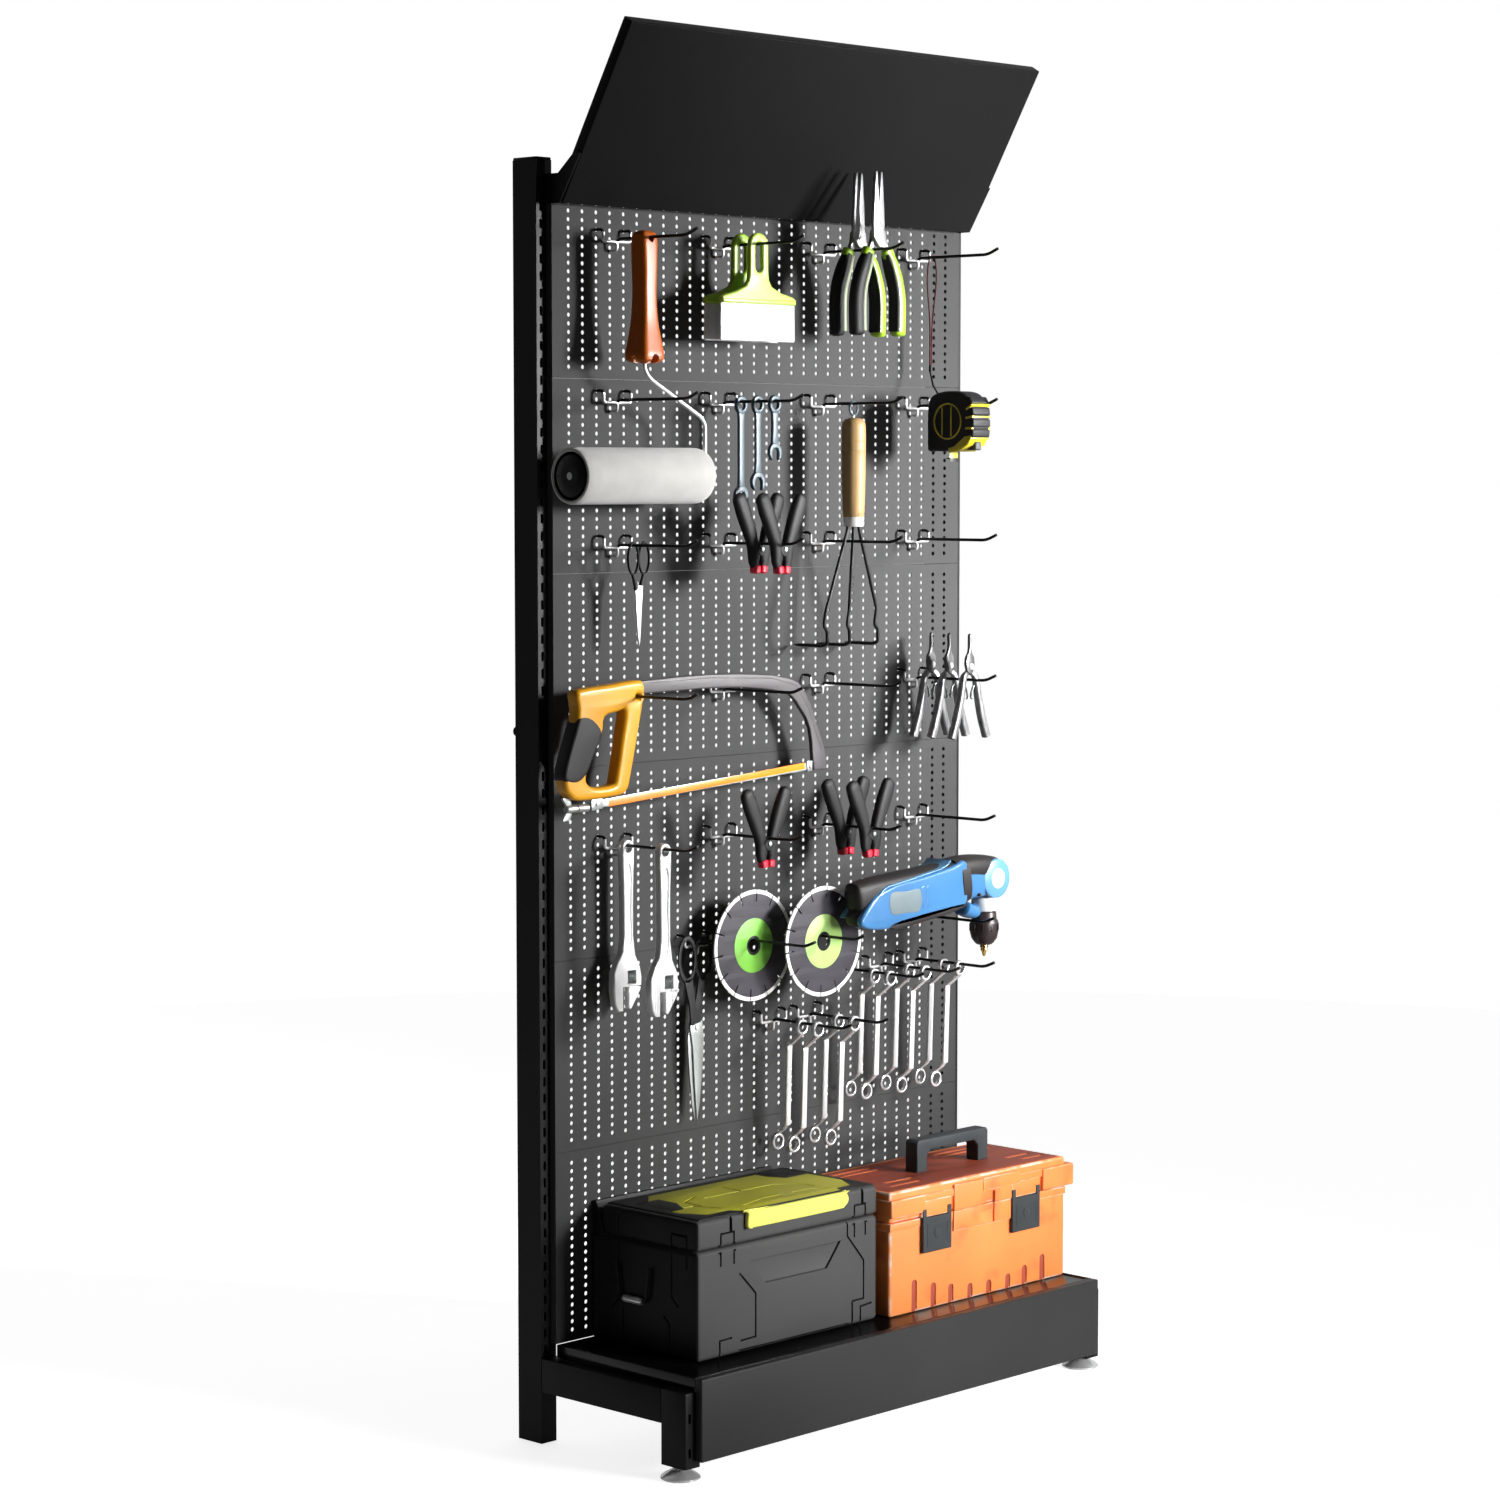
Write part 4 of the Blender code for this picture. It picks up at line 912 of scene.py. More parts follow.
def grooves(name, lines, middle, thickness, across="Y", width=0.0032):
    """Narrow strips along the lines, used to cut grooves or, in near-black, as painted shade lining them."""
    return [
        slab(f"{name}_{i}", [band(line, width)], thickness, middle, across, soft=0.0002) for i,
        line in enumerate(lines)
    ]


def lit_front_black_ends(obj):
    """The box is black plastic: its end walls, faces turned along X, get the black, and its front keeps a lighter
    grey that is painted glare of the key light.
    """
    dark = obj.data.materials.find(BOX_BLACK.name)
    grey = obj.data.materials.find(BOX_GLARE_GREY.name)
    for face in obj.data.polygons:
        if face.material_index == grey and abs(face.normal.x) > 0.6:
            face.material_index = dark


def scuffed_edges(obj):
    """Rounded edges of the orange box are rubbed pale, where a face points along no axis."""
    worn = len(obj.data.materials)
    obj.data.materials.append(WORN_ORANGE)
    plain = obj.data.materials.find(BOX_ORANGE.name)
    for face in obj.data.polygons:
        if face.material_index == plain and max(abs(c) for c in face.normal) < 0.93:
            face.material_index = worn


def make_black_box():
    """The black toolbox, its front painted lighter grey as painted glare: tub with moulded grooves, lid with a
    yellow field, latch bar and side bail.
    """
    low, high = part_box("black_box_body")
    seam, back = 0.3079, 0.1185
    front = low.y
    body = block("black_box_tub", (low.x + 0.0005, front, low.z + 0.0004), (high.x, back, seam - 0.0006), 0.0075, 5)
    lines = mm_lines([
        [(-336.5, 300.5), (-332, 300.5), (-332, 280.2)], [(-304.6, 280.2), (-304.6, 300.5), (-300, 300.5)],
        [(-49, 300.5), (-44.4, 300.5), (-44.4, 280.2)], [(-20.2, 280.2), (-20.2, 300.5), (-15.5, 300.5)],
        [(-293.1, 265.1), (-259, 229.9), (-259, 165.3), (-291, 164.3)],
        [(-60, 306), (-60, 284.2), (-23.6, 242.2), (-23.6, 183.6), (-49, 182.8), (-49, 140)],
        [(-334.4, 140), (-334.4, 171), (-309, 172)], [(-30.6, 140), (-30.6, 172.2), (-5.5, 174)],
        [(-293, 150), (-56, 150)],
    ])
    tools = grooves("tub_groove", lines, front, 0.0052)
    dip = slab("tub_dip", mm_lines([[
        (-238.5, 242), (-105.9, 242), (-74, 280), (-270.4, 280),
    ]]), 0.009, front, soft=0.0035)
    side_lines = mm_lines([
        [(60, 300), (60, 215), (75, 200)], [(-52, 300), (-52, 235), (-66, 222)], [(50, 205), (50, 140)],
        [(-35, 205), (-47, 195), (-47, 140)], [(-83, 300), (-83, 280)],
    ])
    for x in (low.x + 0.0005, high.x):
        tools += grooves(f"tub_side_{x:.2f}", side_lines, x, 0.0048, "X", 0.0036)
    body = cut(body, dip, *tools)
    fin = slab(
        "black_box_hinge_fin",
        [[(0.0958, seam - 0.01), (back, seam - 0.01), (back, 0.3535), (0.1118, 0.3535), (0.0958, seam + 0.0004)]],
        high.x - low.x - 0.01, (low.x + high.x) / 2, "X", soft=0.0018, steps=3,
    )
    # Painted shade: thin dark strips on the floors of the tub's grooves.
    groove_shades = grooves("tub_groove_shade", lines, front + 0.0023, 0.0004, width=0.0029)
    for x in (low.x + 0.0026, high.x - 0.0021):
        groove_shades += grooves("tub_side_groove_shade", side_lines, x, 0.0004, "X", 0.0033)
    tub = joined("black_box_tub", [(body, BOX_GLARE_GREY), (fin, BOX_BLACK)] + [(line, GROOVE_SHADE) for line in groove_shades])
    lit_front_black_ends(tub)
    put(tub, None, "wall", ("black_box_body",))

    lid_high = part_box("black_box_lid")[1]
    lid = block(
        "black_box_lid_shell", (low.x + 0.0005, front, seam + 0.0006), (high.x, lid_high.y, 0.3525), 0.007, 5,
    )
    lid_lines = mm_lines([
        [(-336.5, 311.4), (-332, 311.4), (-332, 328.6), (-304.6, 328.6), (-304.6, 311.4), (-300, 311.4)],
        [(-49, 311.4), (-44.4, 311.4), (-44.4, 328.6), (-20.2, 328.6), (-20.2, 311.4), (-15.5, 311.4)],
    ])
    tools = grooves("lid_groove", lid_lines, front, 0.0052)
    tools += grooves("lid_notch", mm_lines([
        [(-311.4, 360), (-311.4, 329.6)], [(-27, 360), (-27, 329.6)],
    ]), front, 0.009, width=0.006)
    lid_side = mm_lines([[(60, 311.4), (60, 340)], [(-52, 311.4), (-52, 329), (-83, 329), (-83, 311.4)]])
    for x in (low.x + 0.0005, high.x):
        tools += grooves(f"lid_side_{x:.2f}", lid_side, x, 0.0048, "X", 0.0036)
    latch_low, latch_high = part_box("black_box_latch")
    seat = block(
        "latch_seat", (latch_low.x - 0.001, front - 0.01, latch_low.z - 0.004),
        (latch_high.x + 0.001, front + 0.0016, 0.36), 0.001,
    )
    lid = cut(lid, seat, *tools)
    field = mm([
        (-335, -81), (-290, -81), (-283, -96), (-65, -96), (-58, -81), (-27, -81), (-6, -45), (-6, 36), (-50, 36),
        (-68, 78), (-300, 78), (-335, 42), (-356, 42), (-356, -45),
    ])
    yellow = slab("lid_field", [field], 0.005, 0.352, "Z", soft=0.0012)
    marks = mm_lines([
        [(-296, -30), (-296, 6), (-255, 25)], [(-344, -23), (-306, -23), (-288, -62)],
        [(-254, 6), (-105, 6), (-70, -24), (-70, -48)], [(-175, 6), (-175, 48)],
        [(-250, -72), (-190, -56), (-150, -56)], [(-130, -56), (-90, -56), (-64, -76)],
    ])
    yellow = cut(yellow, *grooves("lid_mark", marks, 0.3545, 0.0034, "Z", 0.0042))
    # Painted shade: thin dark strips on the floors of the lid's grooves and marks.
    groove_shades = grooves(
        "lid_groove_shade", lid_lines, front + 0.0023, 0.0004, width=0.0029,
    ) + grooves("lid_mark_shade", marks, 0.35295, 0.0004, "Z", 0.0039)
    for x in (low.x + 0.0026, high.x - 0.0021):
        groove_shades += grooves("lid_side_groove_shade", lid_side, x, 0.0004, "X", 0.0033)
    rim = slab("lid_rim", [[
        (low.x + 0.009, -0.1), (high.x - 0.0035, -0.1), (high.x - 0.0035, 0.09), (low.x + 0.009, 0.09),
    ], field], 0.0046, 0.3523, "Z", soft=0.0012)
    corner = mm([(-56, 26), (-6, 26), (-6, 82), (-70, 82), (-70, 56)])
    plate = slab("lid_corner", [corner], 0.005, 0.3526, "Z", soft=0.0014)
    left_corner = slab(
        "lid_corner_left", mm_lines([[(-356, -30), (-330, -30), (-306, 10), (-306, 50), (-356, 50)]]), 0.0046,
        0.3523, "Z", soft=0.0014,
    )
    shell = joined("black_box_lid_shell", [
        (lid, BOX_GLARE_GREY), (rim, BOX_BLACK), (yellow, BOX_YELLOW), (plate, BOX_BLACK), (left_corner, BOX_BLACK),
    ] + [(line, GROOVE_SHADE) for line in groove_shades])
    lit_front_black_ends(shell)
    put(shell, None, "black_lid", ("black_box_lid",))
    x0, x1, z0, z1 = latch_low.x, latch_high.x, latch_low.z - 0.002, latch_high.z - 0.001
    bar = slab(
        "black_box_latch_bar",
        [rounded([
            (x0, z0 + 0.005), (x0 + 0.004, z0 + 0.0006), (x0 + 0.02, z0), (x1 - 0.03, z0), (x1 - 0.008, z0 + 0.003),
            (x1, z0 + 0.012), (x1 - 0.004, z1 - 0.003), (x1 - 0.012, z1), (x0 + 0.01, z1), (x0 + 0.002, z1 - 0.002),
        ], 3)],
        latch_high.y - latch_low.y - 0.0004, (latch_low.y + latch_high.y) / 2, soft=0.0024, steps=4,
    )
    put(bar, LATCH_YELLOW, "black_latch", ("black_box_latch",))

    x = low.x - 0.0045
    route = at(x, 0, [(0, 57.3, 272), (0, 50.5, 220.5), (0, -3.5, 220.5), (0, -10.3, 272)])
    bail = wire("bail_wire", bent(route, 0.007), 0.0026, 12)
    grip = lathe("bail_grip", mm([
        (2.7, -20), (5.2, -18), (5.8, -12), (5.4, 0), (5.8, 12), (5.2, 18), (2.7, 20),
    ]), (x, 0.0235, 0.2205), "Y", 24)
    put_joined(
        "black_box_bail", [(bail, BLACK_TRIM), (grip, CHROME)], "black_side_handle",
        ("black_box_side_handle",),
    )


RIBS = at(0, 0, [
    (80, 51), (124.6, 40), (165.7, 31), (211.5, 25), (256.5, 23), (303, 25), (343.4, 32), (387.5, 43),
])  # each rib's place and height


def make_orange_box():
    """The orange toolbox: ribbed tub, lid with bumpers and a dark roof, handle and two clips."""
    low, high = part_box("orange_box_body")
    front, back, seam = low.y, high.y, 0.2905
    body = block("orange_box_tub", (low.x, front, low.z), (high.x, back, seam), 0.0055, 5)
    marks = [
        slab(f"rib_cut_{i}", [capsule(x, low.z - 0.02, low.z + tall, 0.0062)], 0.005, front, soft=0.0012) for i,
        (x, tall) in enumerate(RIBS)
    ]
    keep = slab(
        "tub_hasp_cut", mm_lines([[(232, 260), (266, 260), (266, 300), (232, 300)]]), 0.006, front - 0.0022,
        soft=0.0006,
    )
    body = cut(body, *marks)
    # Painted shade: darker red strips on the floors of the rib recesses.
    recess_shades = [
        slab(
            f"rib_floor_{i}", [capsule(x, low.z + 0.001, low.z + tall - 0.0006, 0.0055)], 0.0008, front + 0.0022,
            soft=0.0001,
        ) for i,
        (x, tall) in enumerate(RIBS)
    ]
    raised = block("tub_hasp", (0.169, front - 0.0034, 0.259), (0.326, front + 0.003, seam), 0.001)
    raised = cut(raised, keep)
    band_low = block(
        "tub_lip", (low.x - 0.0004, front - 0.001, seam - 0.0125), (high.x + 0.0004, back, seam), 0.0012,
    )
    parts = [(body, BOX_ORANGE), (raised, BOX_ORANGE), (band_low, BOX_ORANGE)] + [(f, RECESS_SHADE_RED) for f in recess_shades]
    tub = joined("orange_box_tub", parts)
    scuffed_edges(tub)
    put(tub, None, "wall", ("orange_box_body",))

    lid_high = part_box("orange_box_lid")[1]
    lid = block("lid_shell", (low.x, front, seam + 0.0007), (high.x, back, lid_high.z - 0.0012), 0.005, 5)
    lip = block("lid_lip", (low.x - 0.001, front - 0.003, 0.3145), (high.x + 0.001, back - 0.004, 0.3262), 0.0014, 3)
    left = block("lid_bumper_left", (low.x - 0.0028, front - 0.0062, 0.2995), (0.1, front + 0.03, 0.327), 0.0028, 4)
    right = block(
        "lid_bumper_right", (0.383, front - 0.0062, 0.2925), (high.x + 0.015, front + 0.036, 0.327), 0.0028, 4,
    )
    hasp = block("lid_hasp", (0.169, front - 0.0048, seam + 0.0007), (0.326, front + 0.004, 0.332), 0.0014, 3)
    slot = slab(
        "lid_hasp_cut", mm_lines([[(232, 280), (266, 280), (266, 310.5), (232, 310.5)]]), 0.008, front - 0.003,
        soft=0.0006,
    )
    step = block("lid_hasp_step", (0.236, front - 0.0062, 0.313), (0.326, front - 0.003, 0.333), 0.0008)
    hasp = cut(hasp, slot)
    ears = [
        block(
            f"lid_ear_{i}", (x - 0.034, front - 0.0052, seam + 0.001), (x + 0.034, front + 0.001, 0.3165), 0.0012,
        ) for i,
        x in enumerate((0.1255, 0.34))
    ]
    roof = slab("lid_roof", [[
        (low.x + 0.006, front + 0.0065), (high.x - 0.006, front + 0.0065), (high.x - 0.006, back - 0.012),
        (low.x + 0.006, back - 0.012),
    ]], 0.005, lid_high.z - 0.0027, "Z", soft=0.0016, steps=3)
    dents = mm_lines([
        [(60, -85), (130, -85)], [(75, -60), (140, -60)], [(375, -85), (425, -85)], [(365, -60), (420, -60)],
        [(300, 20), (420, 20)], [(60, 20), (150, 20)], [(300, 38), (420, 38)], [(60, 38), (150, 38)],
    ])
    roof = cut(roof, *grooves("roof_dent", dents, lid_high.z - 0.0002, 0.003, "Z", 0.0085))
    pieces = [(part, BOX_ORANGE) for part in (lid, lip, left, right, hasp, step)] + [(roof, LID_RED)]
    pieces += [(ear, BOX_ORANGE) for ear in ears]
    shell = joined("orange_box_lid_shell", pieces)
    scuffed_edges(shell)
    put(shell, None, "orange_lid", ("orange_box_lid",))

    grip_low, grip_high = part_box("orange_box_handle")
    z0, z1 = lid_high.z - 0.0006, grip_high.z
    x0, x1 = grip_low.x, grip_high.x
    outline = [
        (x0, z0), (x0 + 0.024, z0), (x0 + 0.024, z1 - 0.026), (x0 + 0.033, z1 - 0.017), (x1 - 0.033, z1 - 0.017),
        (x1 - 0.024, z1 - 0.026), (x1 - 0.024, z0), (x1, z0), (x1, z1 - 0.004), (x1 - 0.004, z1), (x0 + 0.004, z1),
        (x0, z1 - 0.004),
    ]
    grip = slab(
        "orange_box_grip", [outline], grip_high.y - grip_low.y, (grip_low.y + grip_high.y) / 2, soft=0.0022, steps=3,
    )
    put(grip, SLATE, "orange_lid", ("orange_box_handle",))
    for side in ("left", "right"):
        low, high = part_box(f"orange_box_latch_{side}")
        x0, x1, z0, z1 = low.x, high.x, low.z, high.z
        outline = [
            (x0, z0), (x1, z0), (x1, z1), (x1 - 0.008, z1), (x1 - 0.008, z1 - 0.0135), (x0 + 0.008, z1 - 0.0135),
            (x0 + 0.008, z1), (x0, z1),
        ]
        plate = slab(
            "latch_plate", [outline], high.y - low.y - 0.0012, (low.y + high.y) / 2 + 0.0005, soft=0.0014, steps=3,
        )
        frame_lines = [
            (x0 + 0.01, z0 + 0.01), (x1 - 0.01, z0 + 0.01), (x1 - 0.01, z1 - 0.024), (x0 + 0.01, z1 - 0.024),
            (x0 + 0.01, z0 + 0.008),
        ]
        relief = slab("latch_relief", [band(frame_lines, 0.0018)], 0.0016, low.y + 0.0013, soft=0.0005)
        boss = slab(
            "latch_boss", [ring((x0 + x1) / 2, (z0 + z1) / 2 - 0.005, 0.009, 0.009, 6)], 0.0018, low.y + 0.001,
            soft=0.0006,
        )
        put_joined(
            f"orange_box_clip_{side}", [(plate, SLATE), (relief, SLATE), (boss, SLATE)], f"orange_latch_{side}",
            (f"orange_box_latch_{side}",),
        )


# ---------------------------------------------------------------- hand tools

def make_roller():
    """The paint roller: boxy handle, cranked wire and a fleece sleeve with its spoked end cap."""
    x = column_x(3)
    y = middle_y("roller_handle")
    stations = at(x, 0, [
        (0, 1776, 14.6, 14), (0, 1764, 15.2, 15.5), (0, 1735, 14.2, 15.8), (0, 1693, 13.2, 15.2),
        (0, 1652, 15.2, 17), (0, 1620, 20, 21.2), (0, 1604, 22.2, 23.5), (0, 1596, 21.6, 23),
    ])
    handle = limb("roller_grip", stations, y, sides=48, power=5.5, ends=(0.42, 0.28), detail=5)
    handle = cut(
        handle, slab("roller_hang", [ring(x, prong_z(0) - 0.0024, 0.005, 0.005, 24)], 0.08, y),
        slab("roller_cleft", [capsule(x, 1.57, 1.6035, 0.0068)], 0.08, y, soft=0.0002),
        slab("roller_cleft_side", [capsule(y, 1.57, 1.6015, 0.006)], 0.08, x, "X", soft=0.0002),
        block("roller_socket", (x - 0.0031, y - 0.0031, 1.58), (x + 0.0031, y + 0.0031, 1.62), 0.0004),
    )
    put(handle, ROLLER_ORANGE, "wall", ("roller_handle",))
    axis_z = 1.427
    route = [
        (x, y, 1.608), (x, y, 1.5813), (x + 0.011, y, 1.5683), (-0.217, y, 1.514), (-0.208, y, 1.503),
        (-0.208, y, 1.444), (-0.213, y, 1.429), (-0.22, y, axis_z), (-0.4795, y, axis_z),
    ]
    put(wire("roller_wire", bent(route, 0.013, 6), 0.003, 14), WHITE_WIRE, "wall", ("roller_frame",))
    left, right, radius = -0.4835, -0.2195, 0.0412
    core = mm([(4.4, 3.5), (4.4, 0.6), (15, 0), (28, 1.2), (30.5, 3), (36, 3), (36.2, 6)])
    pile = mm([(35.2, 3), (37, 0.6), (39.8, 1.8), (41, 6)])
    length = right - left
    pile += [(radius, 0.012 + (length - 0.03) * i / 12) for i in range(13)]
    pile += at(0, length, [(40.7, -10), (38.5, -4.2), (32, -1), (24, 0), (5, 0), (5, -10)])
    cap = lathe("roller_cap", core, (left, y, axis_z), "X", 56)
    dot = lathe("roller_hub", mm([(0.1, 0), (5.2, 0), (6, 1.2), (6, 4)]), (left, y, axis_z), "X", 24)
    fleece = lathe("roller_pile", pile, (left, y, axis_z), "X", 72)
    spokes = [
        block(
            f"roller_spoke_{i}", (left + 0.0006, y + 0.008, axis_z - 0.0012),
            (left + 0.003, y + 0.027, axis_z + 0.0012), 0.0004,
        )
        for i in range(6)
    ]
    for i, spoke in enumerate(spokes):
        spoke.data.transform(Matrix.Translation((0, y, axis_z)) @ Matrix.Rotation(
            i * math.pi / 3, 4, "X",
        ) @ Matrix.Translation((0, -y, -axis_z)))
    sleeve = joined(
        "roller_cover",
        [(fleece, FLEECE), (cap, BLACK_TRIM), (dot, DRILL_WHITE)] + [(s, BLACK_TRIM) for s in spokes],
    )
    put(sleeve, None, "roller_sleeve", ("roller_sleeve",))


def make_scraper(name, look):
    """A wide scraper: moulded grip with a hanging slot, and a thin blade."""
    low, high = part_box(name)
    x, y = (low.x + high.x) / 2, middle_y(name)
    top, bottom = high.z, low.z
    slot_top = top - 0.014
    half = at(0, top, [
        (20, -20), (20, -55), (21.2, -69), (27, -79), (50, -88.5), (74, -94), (79.5, -97.5), (79.8, -104.5),
        (78, -106.2),
    ])
    outline = arc(
        x, top - 0.02, 0.02, 0.02, 10, 170, 15,
    ) + [(x - u, z) for u, z in half] + [(x + u, z) for u, z in half[::-1]]
    grip = slab(
        name + "_grip", [outline, capsule(x, slot_top - 0.045, slot_top, 0.0075)], 0.009, y, soft=0.0034, steps=4,
    )
    bar = slab(
        name + "_bar", [at(x, top, [(-79, -98), (79, -98), (79, -106), (-79, -106)])], 0.0112, y, soft=0.0034,
        steps=4,
    )
    blade = slab(name + "_blade", [[
        (x - 0.0788, top - 0.102), (x - 0.0796, bottom + 0.003), (x - 0.078, bottom), (x + 0.078, bottom),
        (x + 0.0796, bottom + 0.003), (x + 0.0788, top - 0.102),
    ]], 0.0022, y, soft=0.0005)
    return put_joined(name + "_tool", [(grip, look), (bar, look), (blade, BLADE)], "wall", (name,))


def needle_nose(name, x, y, bodies, replaced=None):
    """Long-nosed pliers hung by their crotch: polished jaws, dipped grips in black and lime."""
    crotch = prong_z(0) + PRONG_WIRE + 0.0006
    pivot_z = crotch + 0.013
    tip = pivot_z + 0.102
    for index, (turn, body) in enumerate(zip((1, -1), bodies)):
        level = y - turn * 0.00365
        jaw = [
            (-0.0082, tip), (-0.0112, tip - 0.001), (-0.0134, pivot_z + 0.08), (-0.0156, pivot_z + 0.045),
            (-0.0166, pivot_z + 0.022), (-0.015, pivot_z + 0.002), (-0.003, crotch + 0.0004), (0.0033, crotch),
            (0.011, crotch - 0.004), (0.016, pivot_z - 0.03), (0.0235, pivot_z - 0.026), (0.013, pivot_z - 0.003),
            (0.011, pivot_z + 0.01), (-0.001, pivot_z + 0.028),
        ]
        steel = slab("jaw", [[(x + turn * u, v) for u, v in jaw][::turn]], 0.007, level, soft=0.0014, steps=3)
        cuts = [
            slab(
                f"tooth_{k}",
                [band(at(x, pivot_z, [(-1.2 - 0.4 * k, 36 + 4 * k), (-4 - 0.4 * k, 37 + 4 * k)], turn), 0.0009)],
                0.02, level, soft=0.0001,
            )
            for k in range(9)
        ]
        steel = cut(steel, *cuts)
        middle = at(0, pivot_z, [
            (19.5, -22.5, 7.6), (28.5, -40, 9.8), (38.5, -66, 11.2), (43, -92, 12.2), (43, -120, 12.5),
            (42.5, -144, 12.2),
        ])
        outer = [(x + turn * u, z, w, 0.0078 if w < 0.008 else 0.01) for u, z, w in middle]
        outer = limb("grip_outer", outer, level, ends=(0.2, 0.3))
        inner_line = at(0, pivot_z, [
            (13, -24, 4), (21.5, -45, 4.6), (30.5, -70, 5.2), (34.5, -95, 5.6), (34, -140, 5.8),
        ])
        fuller = 1.1 if turn < 0 else 0.8
        inner = [(x + turn * u, z, w * fuller, 0.008 if w < 0.0045 else 0.0105) for u, z, w in inner_line]
        inner = limb("grip_inner", inner, level, ends=(0.2, 0.25))
        collar = limb("grip_collar", at(x, pivot_z, [
            (16.5, -16.5, 10.5, 7.2), (21.5, -26.5, 10.5, 7.4),
        ], turn), level, ends=(0.15, 0.1))
        left_side = turn < 0
        pieces = [
            (steel, JAW_STEEL), (outer, GRIP_BLACK if left_side else LIME_DEEP),
            (inner, PLIER_GRIP if left_side else GRIP_BLACK), (collar, LIME_DEEP),
        ]
        if turn == 1:
            pieces.append((lathe(
                "pin", mm([(0.1, -1), (4, -0.8), (5, 0.4), (5, 15), (0.1, 15.4)]), (x, y - 0.0079, pivot_z), "Y", 24,
            ), SATIN))
        put_joined(f"{name}_{index + 1}", pieces, body, (replaced[index],) if replaced else ())


TAPE_THICK, TAPE_MIDDLE_X, TAPE_TOP_Z = 0.043, 0.3106, 1.559


def make_tape():
    """The tape measure: black case with yellow rings and ribs, steel strip and end hook, cord ferrule."""
    x, z0, z1 = TAPE_MIDDLE_X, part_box("tape_case")[0].z, TAPE_TOP_Z
    outline = rounded([
        (-0.0465, z0 + 0.034), (-0.0465, z1 - 0.04), (-0.041, z1 - 0.018), (-0.025, z1 - 0.003),
        (0.005, z1 + 0.0005), (0.033, z1 - 0.0035), (0.0455, z1 - 0.014), (0.0485, z1 - 0.034), (0.0485, z0 + 0.012),
        (0.0462, z0 + 0.001), (0.03, z0 + 0.0005), (-0.015, z0 + 0.0005), (-0.034, z0 + 0.012),
    ], 5)
    case = slab("tape_shell", [outline], TAPE_THICK, x, "X", soft=0.006, steps=5)
    mouth = block("tape_mouth", (x - 0.0085, 0.005, z0 - 0.004), (x + 0.0085, 0.0185, z0 + 0.004), 0.0006)
    case = cut(case, mouth)
    pieces = [(case, GRIP_BLACK)]
    cy, cz = 0.0045, 1.512
    for side in (-1, 1):
        face = x + side * (TAPE_THICK / 2 + 0.0001)
        label = lathe("tape_ring", mm([
            (26.2, 0), (26.4, 0.6), (27, 0.9), (28.4, 0.9), (28.8, 0.6), (28.8, 0),
        ]), (face, cy, cz), "X", 56)
        plate = lathe("tape_label", mm([(0.1, 0.4), (25, 0.4), (26, 0)]), (face, cy, cz), "X", 56)
        inner = joined("tape_line", [
            (block(
                f"tape_bar_{k}", (face - 0.0004, cy + k - 0.0013, cz - reach),
                (face + 0.0008, cy + k + 0.0013, cz + reach), 0.0003,
            ), TAPE_YELLOW) for k,
            reach in ((0.011, 0.0218), (-0.0075, 0.0232))
        ])
        for part in (label, plate, inner):
            if side < 0:
                part.data.transform(Matrix.Translation((2 * face, 0, 0)) @ Matrix.Diagonal((-1, 1, 1, 1)))
                tidy(part)
        pieces += [(label, TAPE_YELLOW), (plate, BLACK_TRIM), (inner, TAPE_YELLOW)]
    for i, (ry, rz, tilt) in enumerate((
        (-0.042, 1.544, 34), (-0.0465, 1.527, 8), (-0.0472, 1.509, 0), (-0.0462, 1.493, -8),
    )):
        rib = block(f"tape_rib_{i}", (x - 0.0212, -0.0034, -0.0066), (x + 0.0212, 0.012, 0.0066), 0.003, 4)
        line = block(f"tape_rib_line_{i}", (x - 0.0224, -0.0012, -0.01), (x + 0.0224, 0.013, -0.0064), 0.001)
        for part in (rib, line):
            part.data.transform(
                Matrix.Translation((0, ry + 0.0022, rz)) @ Matrix.Rotation(math.radians(-tilt), 4, "X")
            )
        pieces += [(rib, GRIP_BLACK), (line, TAPE_YELLOW)]
    corner = slab(
        "tape_corner", [at(0, z0, [(-46, 26), (-30, 24), (-8, 9), (4, 6), (4, -0.4), (-17, -0.4), (-37, 10)])],
        TAPE_THICK + 0.0008, x, "X", soft=0.003, steps=3,
    )
    button = block("tape_lock", (x - 0.0075, -0.042, z0 + 0.0015), (x + 0.0075, -0.022, z0 + 0.015), 0.003, 3)
    pieces += [(corner, TAPE_YELLOW), (button, GRIP_GREY)]
    stem = wire("tape_stem", [
        (x + 0.01, 0.046, 1.548), (x + 0.014, 0.066, 1.57), (0.329, 0.0755, 1.59), (0.329, 0.0755, 1.6025),
    ], 0.0016, 10)
    ferrule = lathe("tape_ferrule", mm([
        (0.1, -12), (2.4, -11.5), (2.8, -9), (2.8, -1.2), (2.2, 0), (0.1, 0),
    ]), (0.329, 0.0755, 1.6026), "Z", 20)
    pieces += [(stem, DARK_WIRE), (ferrule, BLACK_TRIM)]
    put_joined("tape_body", pieces, "wall", ("tape_case",))
    low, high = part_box("tape_blade")
    strip = slab("tape_strip", [[
        (0.01, low.z + 0.0045), (0.0101, high.z - 0.001), (0.0104, high.z - 0.001), (0.0103, low.z + 0.0045),
    ]], 0.019, x, "X", soft=0.00005)
    hook = slab(
        "tape_hook", [at(0, low.z, [(8, 5.8), (8, 0), (9.5, 0), (9.5, 4), (16, 4), (16, 5.8)])], 0.0215, x, "X",
        soft=0.0005,
    )
    put_joined(
        "tape_end", [(strip, TAPE_YELLOW), (hook, BLACK_TRIM)], "tape_blade", ("tape_blade",),
    )


LANYARD_Y, LANYARD_RADIUS = 0.0755, 0.0014
TAPE_X, TAPE_TOP_X, FERRULE_Z = 0.329, 0.33264, 1.603


